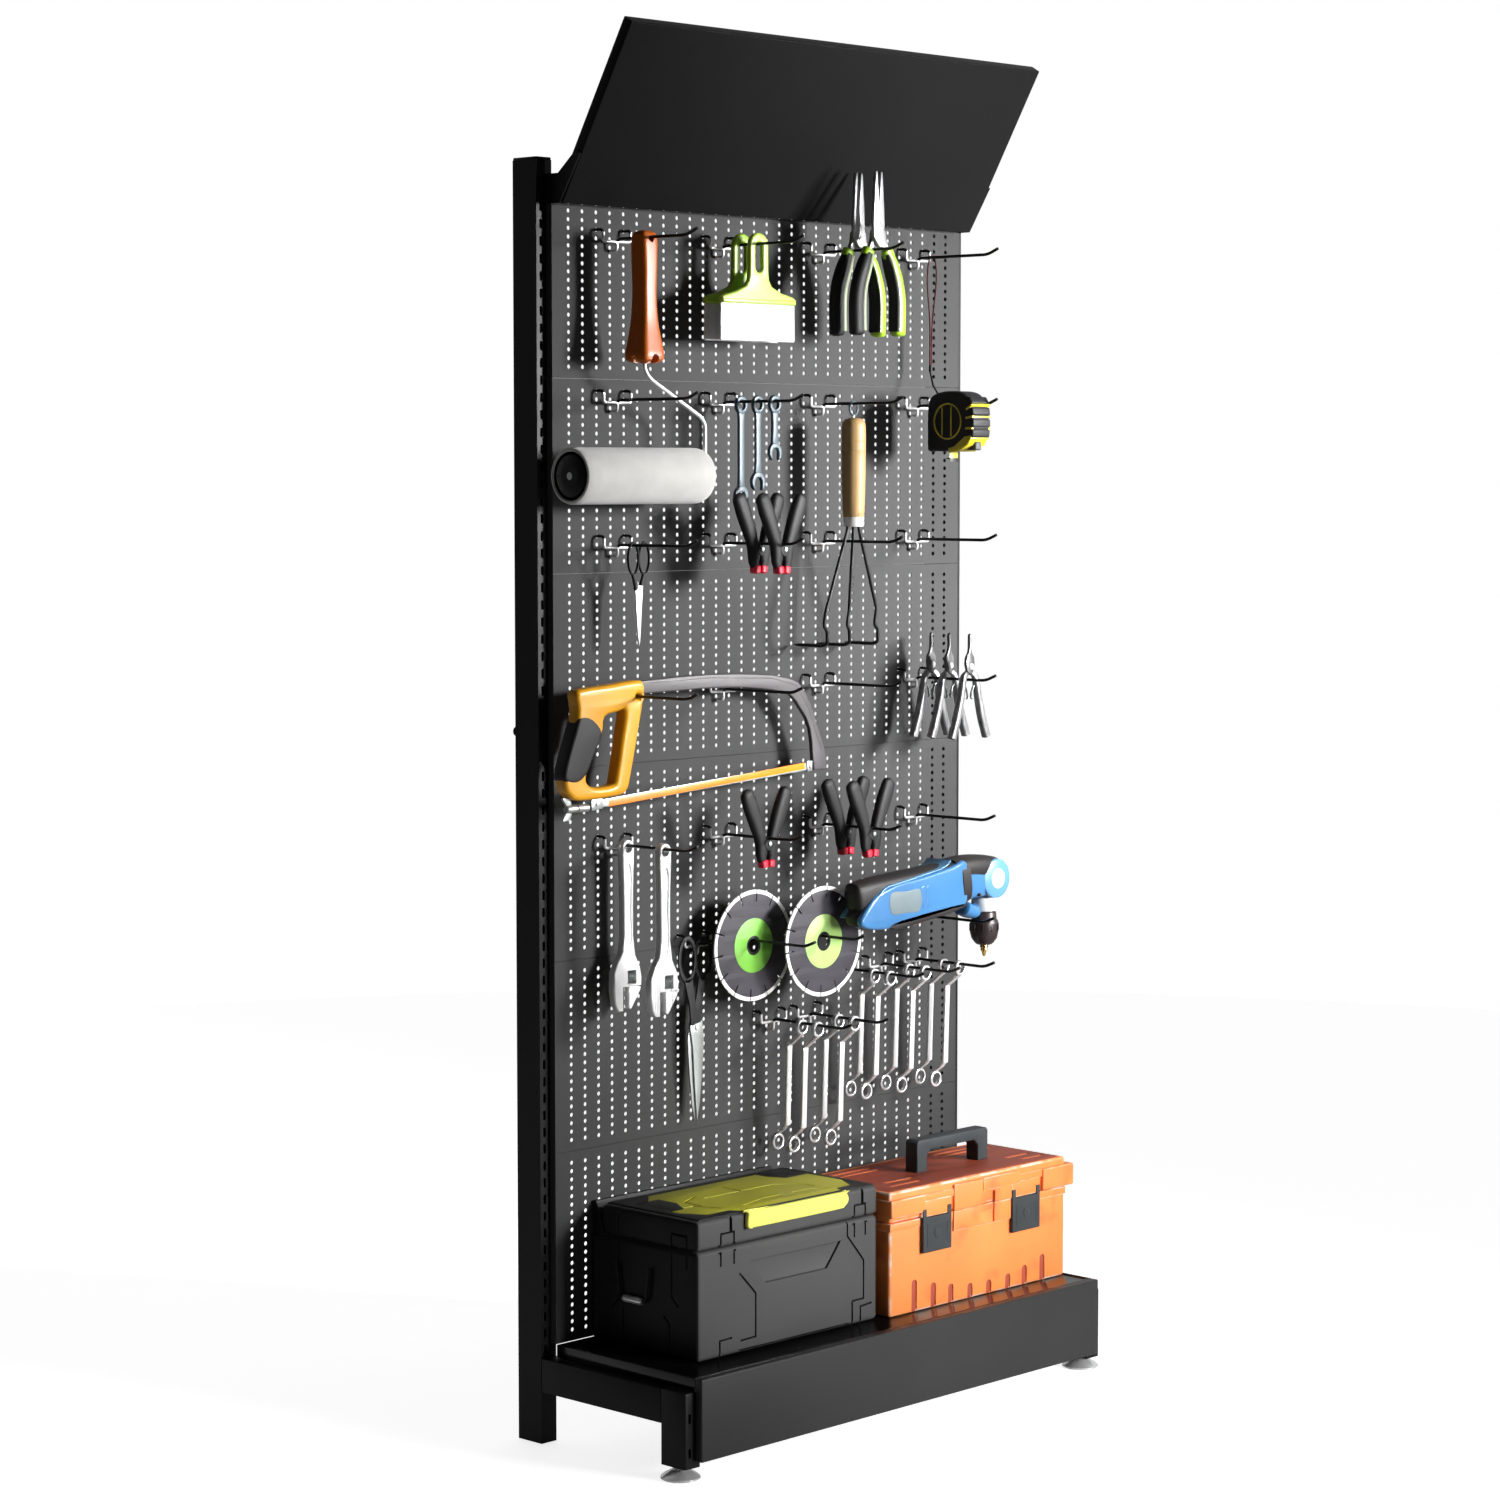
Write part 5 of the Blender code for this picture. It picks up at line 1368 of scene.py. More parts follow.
def lanyard_route():
    """From the ferrule up the left side, over the prong and down the right side, back to the ferrule."""
    over = prong_z(0) + PRONG_WIRE + LANYARD_RADIUS + 0.0003
    widths = (
        (0.0, 0.0018), (0.1, 0.0018), (0.22, 0.0019), (0.34, 0.0024), (0.46, 0.0044), (0.58, 0.0074), (0.7, 0.01),
        (0.8, 0.0108), (0.88, 0.0098), (0.94, 0.0078), (0.98, 0.0052),
    )

    def place(share, side):
        return (TAPE_X + (TAPE_TOP_X - TAPE_X) * share + side, LANYARD_Y, FERRULE_Z + (over - FERRULE_Z) * share)

    left = [place(share, -half) for share, half in widths]
    right = [place(share, half) for share, half in reversed(widths)]
    return left + [place(1.0, 0.0)] + right


def make_lanyard():
    """The tape measure's cord, the only soft part."""
    route = smooth(lanyard_route(), 2)
    cord = wire("tape_lanyard_cord", route, LANYARD_RADIUS, 12)
    put(cord, CORD_RED, "wall", ("tape_lanyard",))


def make_hacksaw():
    """The hacksaw: yellow handle with a soft insert, flat bow, toothed blade and wing nut."""
    z = prong_z(3)
    y = middle_y("hacksaw_handle")
    outline = rounded(at(0, z, [
        (-456, 10), (-440, 15.5), (-390, 19), (-334, 23.5), (-321, 19), (-319.5, 3), (-330, -45), (-347, -115),
        (-356, -138), (-380, -144), (-450, -146.5), (-470, -138), (-478.5, -127), (-480.5, -102), (-473, -80),
        (-457, -40), (-453, -14),
    ]), 3)
    grip_hole = rounded(at(0, z, [
        (-358, -20), (-372, -20.5), (-399, -27), (-404.5, -51), (-420, -80), (-436, -108), (-435, -122),
        (-418, -129.5), (-383, -127.5), (-376, -115), (-365, -60),
    ]), 3)
    hang = ring(column_x(3), z, 0.0036, 0.0036, 20)
    body = slab("saw_grip", [outline, grip_hole, hang], 0.0258, y, soft=0.0068, steps=6)
    insert = rounded(at(0, z, [
        (-449, -24), (-425, -28), (-406, -50), (-421.5, -80), (-437, -108), (-456, -121), (-479.5, -117),
        (-481.2, -102), (-473.8, -80), (-457.8, -40),
    ]), 3)
    soft = slab("saw_insert", [insert], 0.0272, y, soft=0.005, steps=5)
    put_joined("saw_handle", [(body, SAW_YELLOW), (soft, GRIP_BLACK)], "wall", ("hacksaw_handle",))
    under = z + PRONG_WIRE + 0.0006
    frame_outline = [
        (-0.3305, z + 0.0215), (-0.28, z + 0.0238), (-0.238, z + 0.0252), (-0.181, z + 0.0262), (-0.11, z + 0.0246),
        (-0.039, z + 0.02), (0.0, z + 0.013), (0.018, z + 0.007), (0.033, z - 0.008), (0.047, z - 0.029),
        (0.063, z - 0.064), (0.078, z - 0.1), (0.084, z - 0.132), (0.0535, z - 0.132), (0.051, z - 0.11),
        (0.049, z - 0.088), (0.045, z - 0.068), (0.037, z - 0.051), (0.025, z - 0.037), (0.012, z - 0.022),
        (-0.003, z - 0.01), (-0.05, z - 0.002), (-0.1, under), (-0.18, under + 0.002), (-0.3155, under),
    ]
    bow = slab("saw_bow", [frame_outline], 0.008, y, soft=0.0022, steps=4)
    edge = slab(
        "saw_bow_rib",
        [band(at(0, z, [(-300, 19), (-181, 21.2), (-40, 15), (13, 2), (40, -33), (70, -100)]), 0.0022)], 0.0088, y,
        soft=0.0008,
    )
    put_joined("saw_frame", [(bow, SAW_GREY), (edge, SAW_GREY)], "wall", ("hacksaw_frame",))
    left, right, half = Vector((-0.419, 0, 0.948)), Vector((0.052, 0, 0.979)), 0.006
    along = right - left
    teeth = int(along.length / 0.0021)
    edge_points = []
    for i in range(teeth):
        base = left + along * (i / teeth)
        edge_points += [(base.x, base.z - half), (base.x + 0.001, base.z - half + 0.0011)]
    blade = slab(
        "saw_steel", [edge_points + [(right.x, right.z - half), (right.x, right.z + half), (left.x, left.z + half)]],
        0.0012, y, soft=0.0001,
    )
    paint = slab("saw_paint", [[
        (left.x + 0.036, left.z - half + 0.0022), (right.x - 0.016, right.z - half + 0.0022),
        (right.x - 0.016, right.z + half - 0.0002), (left.x + 0.036, left.z + half - 0.0002),
    ]], 0.0017, y, soft=0.0002)
    ends = [
        slab("saw_clip", [[
            (x0, z0 - 0.0075), (x1, z1 - 0.0075), (x1, z1 + 0.0085), (x0, z0 + 0.0085),
        ]], 0.005, y, soft=0.001) for x0,
        z0, x1, z1 in ((-0.419, 0.948, -0.396, 0.95), (0.0405, 0.9782, 0.052, 0.979))
    ]
    pegs = [
        lathe("saw_peg", mm([(0.1, -4.6), (2.6, -4.4), (3, -3.4), (3, 3.6), (0.1, 4)]), (px, y, pz), "Y", 20) for px,
        pz in ((-0.408, 0.949), (0.0465, 0.9786))
    ]
    put_joined(
        "saw_blade",
        [(blade, SATIN), (paint, SAW_ORANGE)] + [(e, SATIN) for e in ends] + [(p, CHROME) for p in pegs], "wall",
        ("hacksaw_blade",),
    )
    cx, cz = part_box("hacksaw_wing_nut")[1].x, 0.9455
    barrel = lathe("saw_nut", mm([
        (0.1, -44), (4.8, -43.6), (6.2, -41), (6.2, -25), (5, -24), (5, -22.5), (6, -21.5), (6, -1), (0.1, 0),
    ]), (cx, y, cz), "X", 28)
    wing = mm([
        (-465.5, 962.8), (-460, 959), (-457.2, 945.5), (-460, 932), (-465.5, 928.2), (-474.5, 928.2), (-476, 931),
        (-469, 940), (-467.2, 945.5), (-469, 951), (-476, 960), (-474.5, 962.8),
    ])
    wings = slab("saw_wings", [rounded(wing, 2)], 0.004, y, soft=0.0013, steps=3)
    put_joined(
        "saw_wing_nut", [(barrel, SATIN), (wings, SATIN)], "hacksaw_wing_nut",
        ("hacksaw_wing_nut",),
    )


def adjustable_wrench(name, x, y, body, jaw_body, replaced=()):
    """An adjustable wrench hung by the hole in its handle: frame, worm and sliding jaw."""
    hang = prong_z(4) - 0.004
    head = hang - 0.19
    shaft = arc(x, hang, 0.0125, 0.0125, 12, 168, 13) + [
        (x - 0.0118, hang - 0.02), (x - 0.01, hang - 0.06), (x - 0.0095, head + 0.06), (x - 0.0125, head + 0.036),
        (x - 0.0225, head + 0.022), (x - 0.03, head + 0.006), (x - 0.031, head - 0.02), (x - 0.0272, head - 0.042),
        (x - 0.0205, head - 0.052), (x - 0.011, head - 0.052), (x - 0.011, head - 0.0165),
        (x + 0.0262, head - 0.0165), (x + 0.0268, head - 0.004), (x + 0.0235, head + 0.012),
        (x + 0.014, head + 0.03), (x + 0.0098, head + 0.06), (x + 0.01, hang - 0.06), (x + 0.0118, hang - 0.02),
    ]
    frame_piece = slab("wrench_bar", [shaft, ring(x, hang, 0.0066, 0.0066, 24)], 0.013, y, soft=0.0028, steps=4)
    web = rounded(at(x, hang, [(-5.2, -30), (5.2, -30), (4.6, -90), (5.2, -138), (-5.2, -138), (-4.6, -90)]), 3)
    webs = [slab("wrench_web", [web], 0.004, y + face, soft=0.0008) for face in (-0.0065, 0.0065)]
    window = block("wrench_window", (x - 0.003, y - 0.02, head - 0.0125), (x + 0.015, y + 0.02, head + 0.008), 0.001)
    frame_piece = cut(frame_piece, *webs, window)
    worm = lathe(
        "wrench_worm",
        [(0.0001, -0.0074)] + [
            (0.0076 if i % 2 else 0.0062, -0.0072 + 0.0009 * i)
            for i in range(17)
        ] + [(0.0001, 0.0074)],
        (x + 0.0055, y, head - 0.0022), "X", 28,
    )
    put_joined(name, [(frame_piece, BRUSHED), (worm, SATIN)], body, replaced[:1])
    jaw = rounded(at(x, head, [
        (1.2, -17.5), (1.2, -33), (1.4, -47.5), (6.5, -49.5), (13, -40), (20.5, -30), (26.2, -18.5), (12, -17.2),
    ]), 2)
    put(
        slab(name + "_jaw", [jaw], 0.0106, y, soft=0.0018, steps=3), BRUSHED, jaw_body,
        replaced[1:],
    )


def make_large_scissors():
    """The large scissors: two levers with sleeved loops, lying face to face."""
    x = column_x(9) - 0.0125
    y = (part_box("scissors_lever_front")[1].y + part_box("scissors_lever_rear")[0].y) / 2
    loop_z = prong_z(5) + PRONG_WIRE - 0.0238
    pivot_z = loop_z - 0.105
    for turn, body, node in ((-1, "scissors_front", "scissors_lever_front"), (1, "wall", "scissors_lever_rear")):
        level = y + turn * 0.00165
        side = -turn
        middle = x - side * 0.0185
        loop = slab("loop", [
            ring(middle, loop_z, 0.02, 0.036, 36), ring(middle, loop_z, 0.014, 0.029, 36),
        ], 0.003, level, soft=0.0009, steps=3)
        soft_loop = wire(
            "loop_sleeve",
            [
                Vector((u, level, v)) for u, v in ring(middle, loop_z, 0.017, 0.0325, 40)
            ] + [Vector((middle + 0.017, level, loop_z))],
            0.0016, 10,
        )
        neck = slab(
            "neck",
            [at(x, pivot_z, [(-26, 75), (-15, 36), (-11.5, 2), (10.5, 8), (-1, 36), (-8.5, 76)], side)[::side]],
            0.003, level, soft=0.0008, steps=3,
        )
        blade = slab(
            "blade",
            [at(x, pivot_z, [
                (-13, 4), (-12.5, -6), (-8, -30), (-3, -100), (1, -144), (6.2, -120), (10.8, -80), (14, -48),
                (15.5, -20), (12, 10),
            ], side)[::side]],
            0.0028, level, soft=0.0008, steps=2,
        )
        pieces = [(loop, GRIP_BLACK), (soft_loop, GRIP_BLACK), (neck, GRIP_BLACK), (blade, SATIN)]
        if side == 1:
            pieces.append((lathe("rivet", mm([
                (0.1, -1.2), (3.4, -1), (4.2, 0), (4.2, 7.8), (3.4, 8.6), (0.1, 8.8),
            ]), (x, y - 0.0038, pivot_z), "Y", 24), BRUSHED))
        put_joined(f"large_scissors_{node[16:]}", pieces, body, (node,))


def make_disc(side, label):
    """A segmented cutting disc: slotted steel core, diamond rim, paper label and bore collar."""
    node = f"cutting_disc_{side}"
    low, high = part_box(node)
    x, y, z = (low.x + high.x) / 2, (low.y + high.y) / 2, (low.z + high.z) / 2
    segments, first_angle, slot_width, bore = 14, 8, 0.0022, 0.0111
    radius, rim_root, core_radius, slot_root = 0.0854, 0.0792, 0.0796, 0.0675
    half_out, half_in = math.degrees(slot_width / 2 / 0.08), math.degrees(slot_width / 2 / 0.069)

    def turned_outline(inner, outer, gap, start, stop, count=7):
        return arc(
            x, z, outer, outer, start + gap, stop - gap, count,
        ) + arc(x, z, inner, inner, stop - gap, start + gap, count)

    pieces = []
    core_outline = []
    step = 360 / segments
    for i in range(segments):
        a0, a1 = i * step + first_angle, (i + 1) * step + first_angle
        core_outline += arc(x, z, core_radius, core_radius, a0 + half_out, a1 - half_out, 7)
        core_outline += arc(x, z, slot_root, slot_root, a1 - half_in, a1 + half_in, 3)
        rim = slab("rim", [turned_outline(rim_root, radius, half_out, a0, a1)], 0.0026, y, soft=0.0006)
        pieces.append((rim, DISC_RIM))
    core = slab("core", [core_outline, ring(x, z, bore, bore, 40)], 0.002, y, soft=0.0004)
    pieces.append((core, DISC))
    for turn in (-1, 1):
        paper = slab(
            "paper", [ring(x, z, 0.0418, 0.0418, 64), ring(x, z, 0.012, 0.012, 40)], 0.0003, y + turn * 0.00105,
            soft=0.0001,
        )
        pieces.append((paper, label))
        collar = slab(
            "collar", [ring(x, z, 0.015, 0.015, 48), ring(x, z, bore, bore, 40)], 0.0004, y + turn * 0.0012,
            soft=0.0001,
        )
        pieces.append((collar, BLACK_TRIM))
    put_joined(f"{node}_blade", pieces, f"disc_{side}", (node,))


CHUCK_X, HEAD_X, HEAD_Z = 0.366, 0.3713, 0.7862


def make_drill():
    """The drill, lying on its prongs with the chuck down: body, trims, battery and turning chuck."""
    y = middle_y("drill_body")
    spine = mm([
        (52, 744, 9, 12), (85, 756, 27, 20.5), (130, 764, 34, 23.8), (190, 770, 35, 24.6), (260, 779, 35, 24.6),
        (295, 785, 35, 24.6),
    ])
    barrel = limb("drill_barrel", spine, y, sides=28, power=3.2, ends=(0.3, 0.1), detail=5)
    shell_line = mm([
        (48, 744), (56, 757), (85, 783), (130, 796.5), (190, 803), (260, 813), (296, 818), (296, 752), (260, 743),
        (190, 734), (130, 729), (85, 729), (56, 735),
    ])
    shells = [
        slab("drill_front_shell", [rounded(shell_line, 3)], 0.013, y - 0.0183, soft=0.0048, steps=5),
        slab(
            "drill_back_shell", [rounded([(max(u, 0.085), v) for u, v in shell_line], 3)], 0.013, y + 0.0183,
            soft=0.0048, steps=5,
        ),
    ]
    belt = limb(
        "drill_belt", [(0.286, 0.786, 0.0372, 0.0262), (0.305, 0.7885, 0.0362, 0.0262)], y, sides=28, power=3.2,
        ends=(0.05, 0.05),
    )
    neck = limb("drill_neck", mm([
        (300, 788, 34, 24.6), (320, 786, 31, 24), (342, 785, 29, 22.5), (360, 785, 28, 21),
    ]), y, sides=28, power=2.8, ends=(0.1, 0.1))
    head = lathe("drill_head", mm([
        (0.1, -24.6), (18, -24.6), (20, -23.8), (28.2, -23.8), (31.2, -21.8), (31.8, -16), (31.8, 16), (31.2, 21.8),
        (28.2, 23.8), (20, 23.8), (18, 24.6), (0.1, 24.6),
    ]), (HEAD_X, y, HEAD_Z), "Y", 48)
    rings = [
        lathe("drill_button", mm([(0.1, 0), (14, 0), (15.8, 1), (16, 3)]), (HEAD_X, y - 0.0258, HEAD_Z), "Y", 40),
        lathe("drill_button", mm([(16, -3), (15.8, -1), (14, 0), (0.1, 0)]), (HEAD_X, y + 0.0258, HEAD_Z), "Y", 40),
    ]
    battery_line = mm([
        (56, 778, 24, 18), (90, 783, 24, 20.5), (170, 789, 24, 21.2), (260, 796, 23, 21.2), (310, 801, 23, 21),
        (360, 800, 22, 19.5),
    ])
    battery = limb("drill_top", battery_line, y, sides=24, power=3.0, ends=(0.25, 0.2), detail=5)
    hood = limb("drill_hood", mm([
        (276, 804, 19, 24.6), (310, 806, 20, 25), (345, 805, 20, 24), (378, 801, 18.8, 21.2), (390, 797, 15, 18),
    ]), y, sides=24, power=2.8, ends=(0.1, 0.3))
    panel = slab(
        "drill_patch",
        [rounded(mm([(116, 751.5), (115.2, 783.7), (150, 783.8), (183.8, 783.8), (182.2, 751.3), (150, 750)]), 3)],
        0.0506, y, soft=0.0012, steps=3,
    )
    stripes = [
        slab(
            "drill_stripe",
            [rounded(at(u, 0, [(0, 757), (1, 773), (0, 787), (5.8, 788), (7.2, 773), (5.8, 757)]), 3)], 0.0505, y,
            soft=0.0008,
        )
        for u in (0.188, 0.199)
    ]
    edge = mm([(52, 748), (76, 770), (99, 790), (110, 794.5), (160, 801), (233, 812), (248, 817), (256, 824)])
    seam = slab("drill_seam", [band(edge, 0.0021)], 0.05, y, soft=0.0008)
    lower = slab(
        "drill_lower_trim",
        [rounded(mm([
            (110, 733), (140, 742), (250, 753), (292, 756), (296, 750), (270, 742), (150, 727), (124, 726),
        ]), 2)],
        0.0496, y, soft=0.003, steps=4,
    )
    trigger = limb(
        "drill_trigger", mm([(142, 733, 7, 15), (185, 734.5, 8.5, 17), (235, 740, 7.5, 15)]), y, sides=20, power=2.8,
        ends=(0.6, 0.6),
    )
    rest = limb(
        "drill_rest", mm([(312, 742, 12, 16), (330, 735, 11.5, 15), (340, 737, 11, 14)]), y, sides=20, power=2.6,
        ends=(0.3, 0.3),
    )
    collar = lathe("drill_collar", mm([
        (0.1, 22.6), (17, 22.6), (20.8, 18), (21.2, 7), (20.6, 1), (19, 0), (0.1, 0),
    ]), (CHUCK_X, y, 0.733), "Z", 36)
    screws = [
        lathe(
            "drill_screw", mm([(0.1, 0), (2.2, 0.2), (2.6, 1), (2.6, 6)]), (sx, y - 0.0246 + 0.0004, sz), "Y", 16,
        ) for sx,
        sz in ((0.329, 0.8), (0.329, 0.763))
    ]
    pieces = [
        (barrel, DRILL_DARK), (belt, DRILL_DARK), (neck, DRILL_BLUE), (head, DRILL_PALE), (battery, DRILL_DARK),
        (hood, DRILL_DARK), (panel, DRILL_SLATE), (lower, DRILL_DARK), (trigger, DRILL_RUST), (rest, DRILL_BLUE),
        (collar, DRILL_WHITE),
    ]
    for parts, look in (
        (shells + stripes, DRILL_BLUE), ([seam], DRILL_PALE), (rings, DRILL_WHITE), (screws, DRILL_DARK),
    ):
        pieces += [(part, look) for part in parts]
    put_joined("drill_shell", pieces, "wall", ("drill_body",))
    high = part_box("drill_chuck")[1]
    profile = mm([
        (0.1, 0), (18, 0), (19.2, -1.4), (20, -12), (22.2, -15), (23, -19), (22.8, -33), (20.5, -43), (15, -50.5),
        (11.8, -53), (6, -54.5), (0.1, -54.5),
    ])
    sleeve = lathe("chuck_sleeve", profile, (CHUCK_X, y, high.z), "Z", 40)
    band_ring = lathe(
        "chuck_band", mm([(0.1, 0), (16, 0), (16.2, -2), (12.8, -7.5), (0.1, -7.5)]), (CHUCK_X, y, high.z - 0.044),
        "Z", 40,
    )
    bit = lathe("chuck_bit", mm([
        (0.1, 0), (6.2, 0), (6.8, -4), (5.2, -6), (5.8, -8.5), (3.8, -12), (2.2, -18), (0.1, -19.5),
    ]), (CHUCK_X, y, high.z - 0.0535), "Z", 20)
    ribs = [
        block(
            f"chuck_rib_{i}", (CHUCK_X + 0.0225, y - 0.0012, high.z - 0.031),
            (CHUCK_X + 0.0242, y + 0.0012, high.z - 0.019), 0.0003,
        )
        for i in range(10)
    ]
    for i, rib in enumerate(ribs):
        rib.data.transform(Matrix.Translation((CHUCK_X, y, 0)) @ Matrix.Rotation(
            i * math.pi / 5, 4, "Z",
        ) @ Matrix.Translation((-CHUCK_X, -y, 0)))
    put_joined(
        "chuck", [(sleeve, CHUCK_DARK), (band_ring, DRILL_WHITE), (bit, GOLD_BIT)] + [(r, CHUCK_DARK) for r in ribs],
        "drill_chuck", ("drill_chuck",),
    )


def spring_clamp(name, x, y, prong, bodies, replaced=()):
    """A spring clamp: two moulded handles in a V, a rivet, and soft red tips."""
    crotch = prong + PRONG_WIRE + 0.0004
    pivot_z = crotch - 0.011
    for index, (turn, body) in enumerate(zip((1, -1), bodies)):
        level = y - turn * 0.0042
        line = at(0, pivot_z, [
            (-42, 76, 12, 6.8), (-33, 56, 13.2, 7.8), (-22, 31, 11.8, 7.8), (-13.5, 9, 10, 7.4),
            (-10.5, -7, 10.4, 7), (-10.8, -19, 8.4, 6.2), (-7.2, -28.5, 5.6, 5.2),
        ])
        arm = limb(
            f"{name}_arm", [(x + turn * u, z, w, d) for u, z, w, d in line], y, sides=20, power=2.7, ends=(0.6, 0.4),
            detail=5,
        )
        lug = slab(f"{name}_lug", [ring(x, pivot_z, 0.01, 0.0105, 28)], 0.007, level, soft=0.0016, steps=3)
        tip_line = at(x, pivot_z, [(-7.8, -26.2, 6.6, 7.4), (-6.8, -34.5, 6, 7.4)], turn)
        tip = limb(f"{name}_tip", tip_line, y, sides=16, power=4.0, ends=(0.35, 0.35))
        pieces = [(arm, GRIP_BLACK), (lug, GRIP_BLACK), (tip, TIP_RED)]
        if index == 0:
            pieces.append((lathe(f"{name}_rivet", mm([
                (0.1, -1.4), (3, -1), (3.8, 0), (3.8, 17.8), (3, 18.8), (0.1, 19.2),
            ]), (x, y - 0.0089, pivot_z), "Y", 20), SATIN))
        piece = joined(f"{name}_{index + 1}", pieces)
        put(piece, None, body, (replaced[index],) if replaced else ())


def open_wrench(name, y, lowest):
    """A drop-forged wrench: a small open end over the prong and a larger one below."""
    x = column_x(11)
    prong = prong_z(1)
    upper = prong + PRONG_WIRE - 0.0072
    size = 0.0135 + 0.02 * (upper - lowest - 0.08)
    loop = slab("end", [
        ring(x, upper, 0.0125, 0.014, 32), ring(x, upper, 0.0068, 0.0072, 24),
    ], 0.0062, y, soft=0.0016, steps=3)
    lower = lowest + size * 0.9
    shank = slab("shank", [[
        (x - 0.007, upper - 0.009), (x - 0.006, upper - 0.024), (x - 0.006, lower + 0.03),
        (x - 0.0075, lower + 0.009), (x + 0.0075, lower + 0.009), (x + 0.006, lower + 0.03),
        (x + 0.006, upper - 0.024), (x + 0.007, upper - 0.009),
    ]], 0.0052, y, soft=0.0018, steps=3)
    mouth = size * 0.5
    claw = arc(x, lower, size, size * 1.05, -58, 238, 25) + [
        (x - mouth, lower - size * 0.66), (x - mouth, lower + size * 0.05), (x - mouth * 0.55, lower + size * 0.42),
        (x + mouth * 0.55, lower + size * 0.42), (x + mouth, lower + size * 0.05), (x + mouth, lower - size * 0.66),
    ]
    head = slab("claw", [claw], 0.0066, y, soft=0.0015, steps=3)
    put_joined(name, [(loop, BLUE_PAINT), (shank, BLUE_PAINT), (head, BLUE_PAINT)], "wall")


def ring_spanner(name, column, prong, y):
    """A deep-offset ring spanner: the shank stands behind its upper ring and in front of its lower one."""
    x = column_x(column)
    top = prong + PRONG_WIRE - 0.0086
    step_back, low_back, length = 0.026, 0.051, 0.185
    edge = mm([(8.8, -3.6), (10, -4), (11.7, -3), (12, 0), (11.7, 3), (10, 4), (8.8, 3.6), (8.8, -3.6)])
    upper = lathe("upper_ring", edge, (x, y, top), "Y", 32)
    lower_edge = [(r * 1.083, h) for r, h in edge]
    lower = lathe("lower_ring", lower_edge, (x, y + low_back, top - length), "Y", 32)
    neck = limb("upper_neck", [
        (x, top - 0.0112, 0.0058, 0.0034), (x, top - 0.02, 0.0054, 0.0032, 0.011),
        (x, top - 0.032, 0.0052, 0.003, step_back),
    ], y, sides=14, power=3, ends=(0.1, 0.1))
    shank = limb("shank", [
        (x, top - 0.029, 0.0058, 0.0029, step_back), (x, top - 0.09, 0.0054, 0.0029, step_back + 0.002),
        (x, top - 0.156, 0.0058, 0.0029, step_back + 0.004),
    ], y, sides=16, power=4, ends=(0.3, 0.3))
    foot = limb("lower_neck", [
        (x, top - 0.154, 0.0054, 0.0029, step_back + 0.004), (x, top - 0.164, 0.0054, 0.003, step_back + 0.012),
        (x, top - length + 0.0118, 0.006, 0.0034, low_back),
    ], y, sides=14, power=3, ends=(0.1, 0.1))
    put_joined(name, [
        (upper, CHROME), (lower, CHROME), (neck, CHROME), (shank, BRUSHED), (foot, CHROME),
    ], "wall")


def silver_pliers(name, y):
    """Small snips hung by their crotch: dark jaws, a leaf spring and long sprung handles."""
    x = column_x(27)
    prong = prong_z(3)
    pivot_z = prong + PRONG_WIRE + 0.015
    pieces = []
    for turn in (1, -1):
        level = y - turn * 0.0026
        jaw = at(0, pivot_z, [
            (-0.8, 50), (-4, 55.5), (-5.2, 53), (-4, 38), (-7, 26), (-12.5, 18), (-13.8, 8), (-10, -4), (0, -10),
            (5, -4), (3, 12), (-0.4, 24),
        ])
        pieces.append((slab(
            "snip_jaw", [[(x + turn * u, v) for u, v in jaw][::turn]], 0.0052, level, soft=0.0014, steps=3,
        ), CAST_STEEL))
        line = at(0, pivot_z, [
            (6, -6, 4.2, 3), (13.5, -13, 5, 4.8), (17.8, -27, 5, 5.8), (22.5, -50, 5.6, 6.2), (31, -80, 6.2, 6.4),
            (42, -109, 6.4, 6.2),
        ])
        pieces.append((limb(
            "snip_handle", [(x + turn * u, z, w, d) for u, z, w, d in line], y, sides=18, power=3.4,
            ends=(0.2, 0.15), detail=5,
        ), SNIP_STEEL))
        spring = at(0, pivot_z, [(12, -26), (9, -29), (5, -38), (3.5, -45), (6.2, -48)])
        leaf = slab("snip_spring", [band([(x + turn * u, v) for u, v in spring], 0.001)], 0.0044, y, soft=0.0003)
        pieces.append((leaf, SATIN))
    pieces.append((lathe("snip_pin", mm([
        (0.1, -1.2), (4.2, -1), (5.2, 0), (5.2, 10.6), (4.2, 11.6), (0.1, 11.8),
    ]), (x, y - 0.0053, pivot_z + 0.004), "Y", 24), CHROME))
    put_joined(name, pieces, "wall")


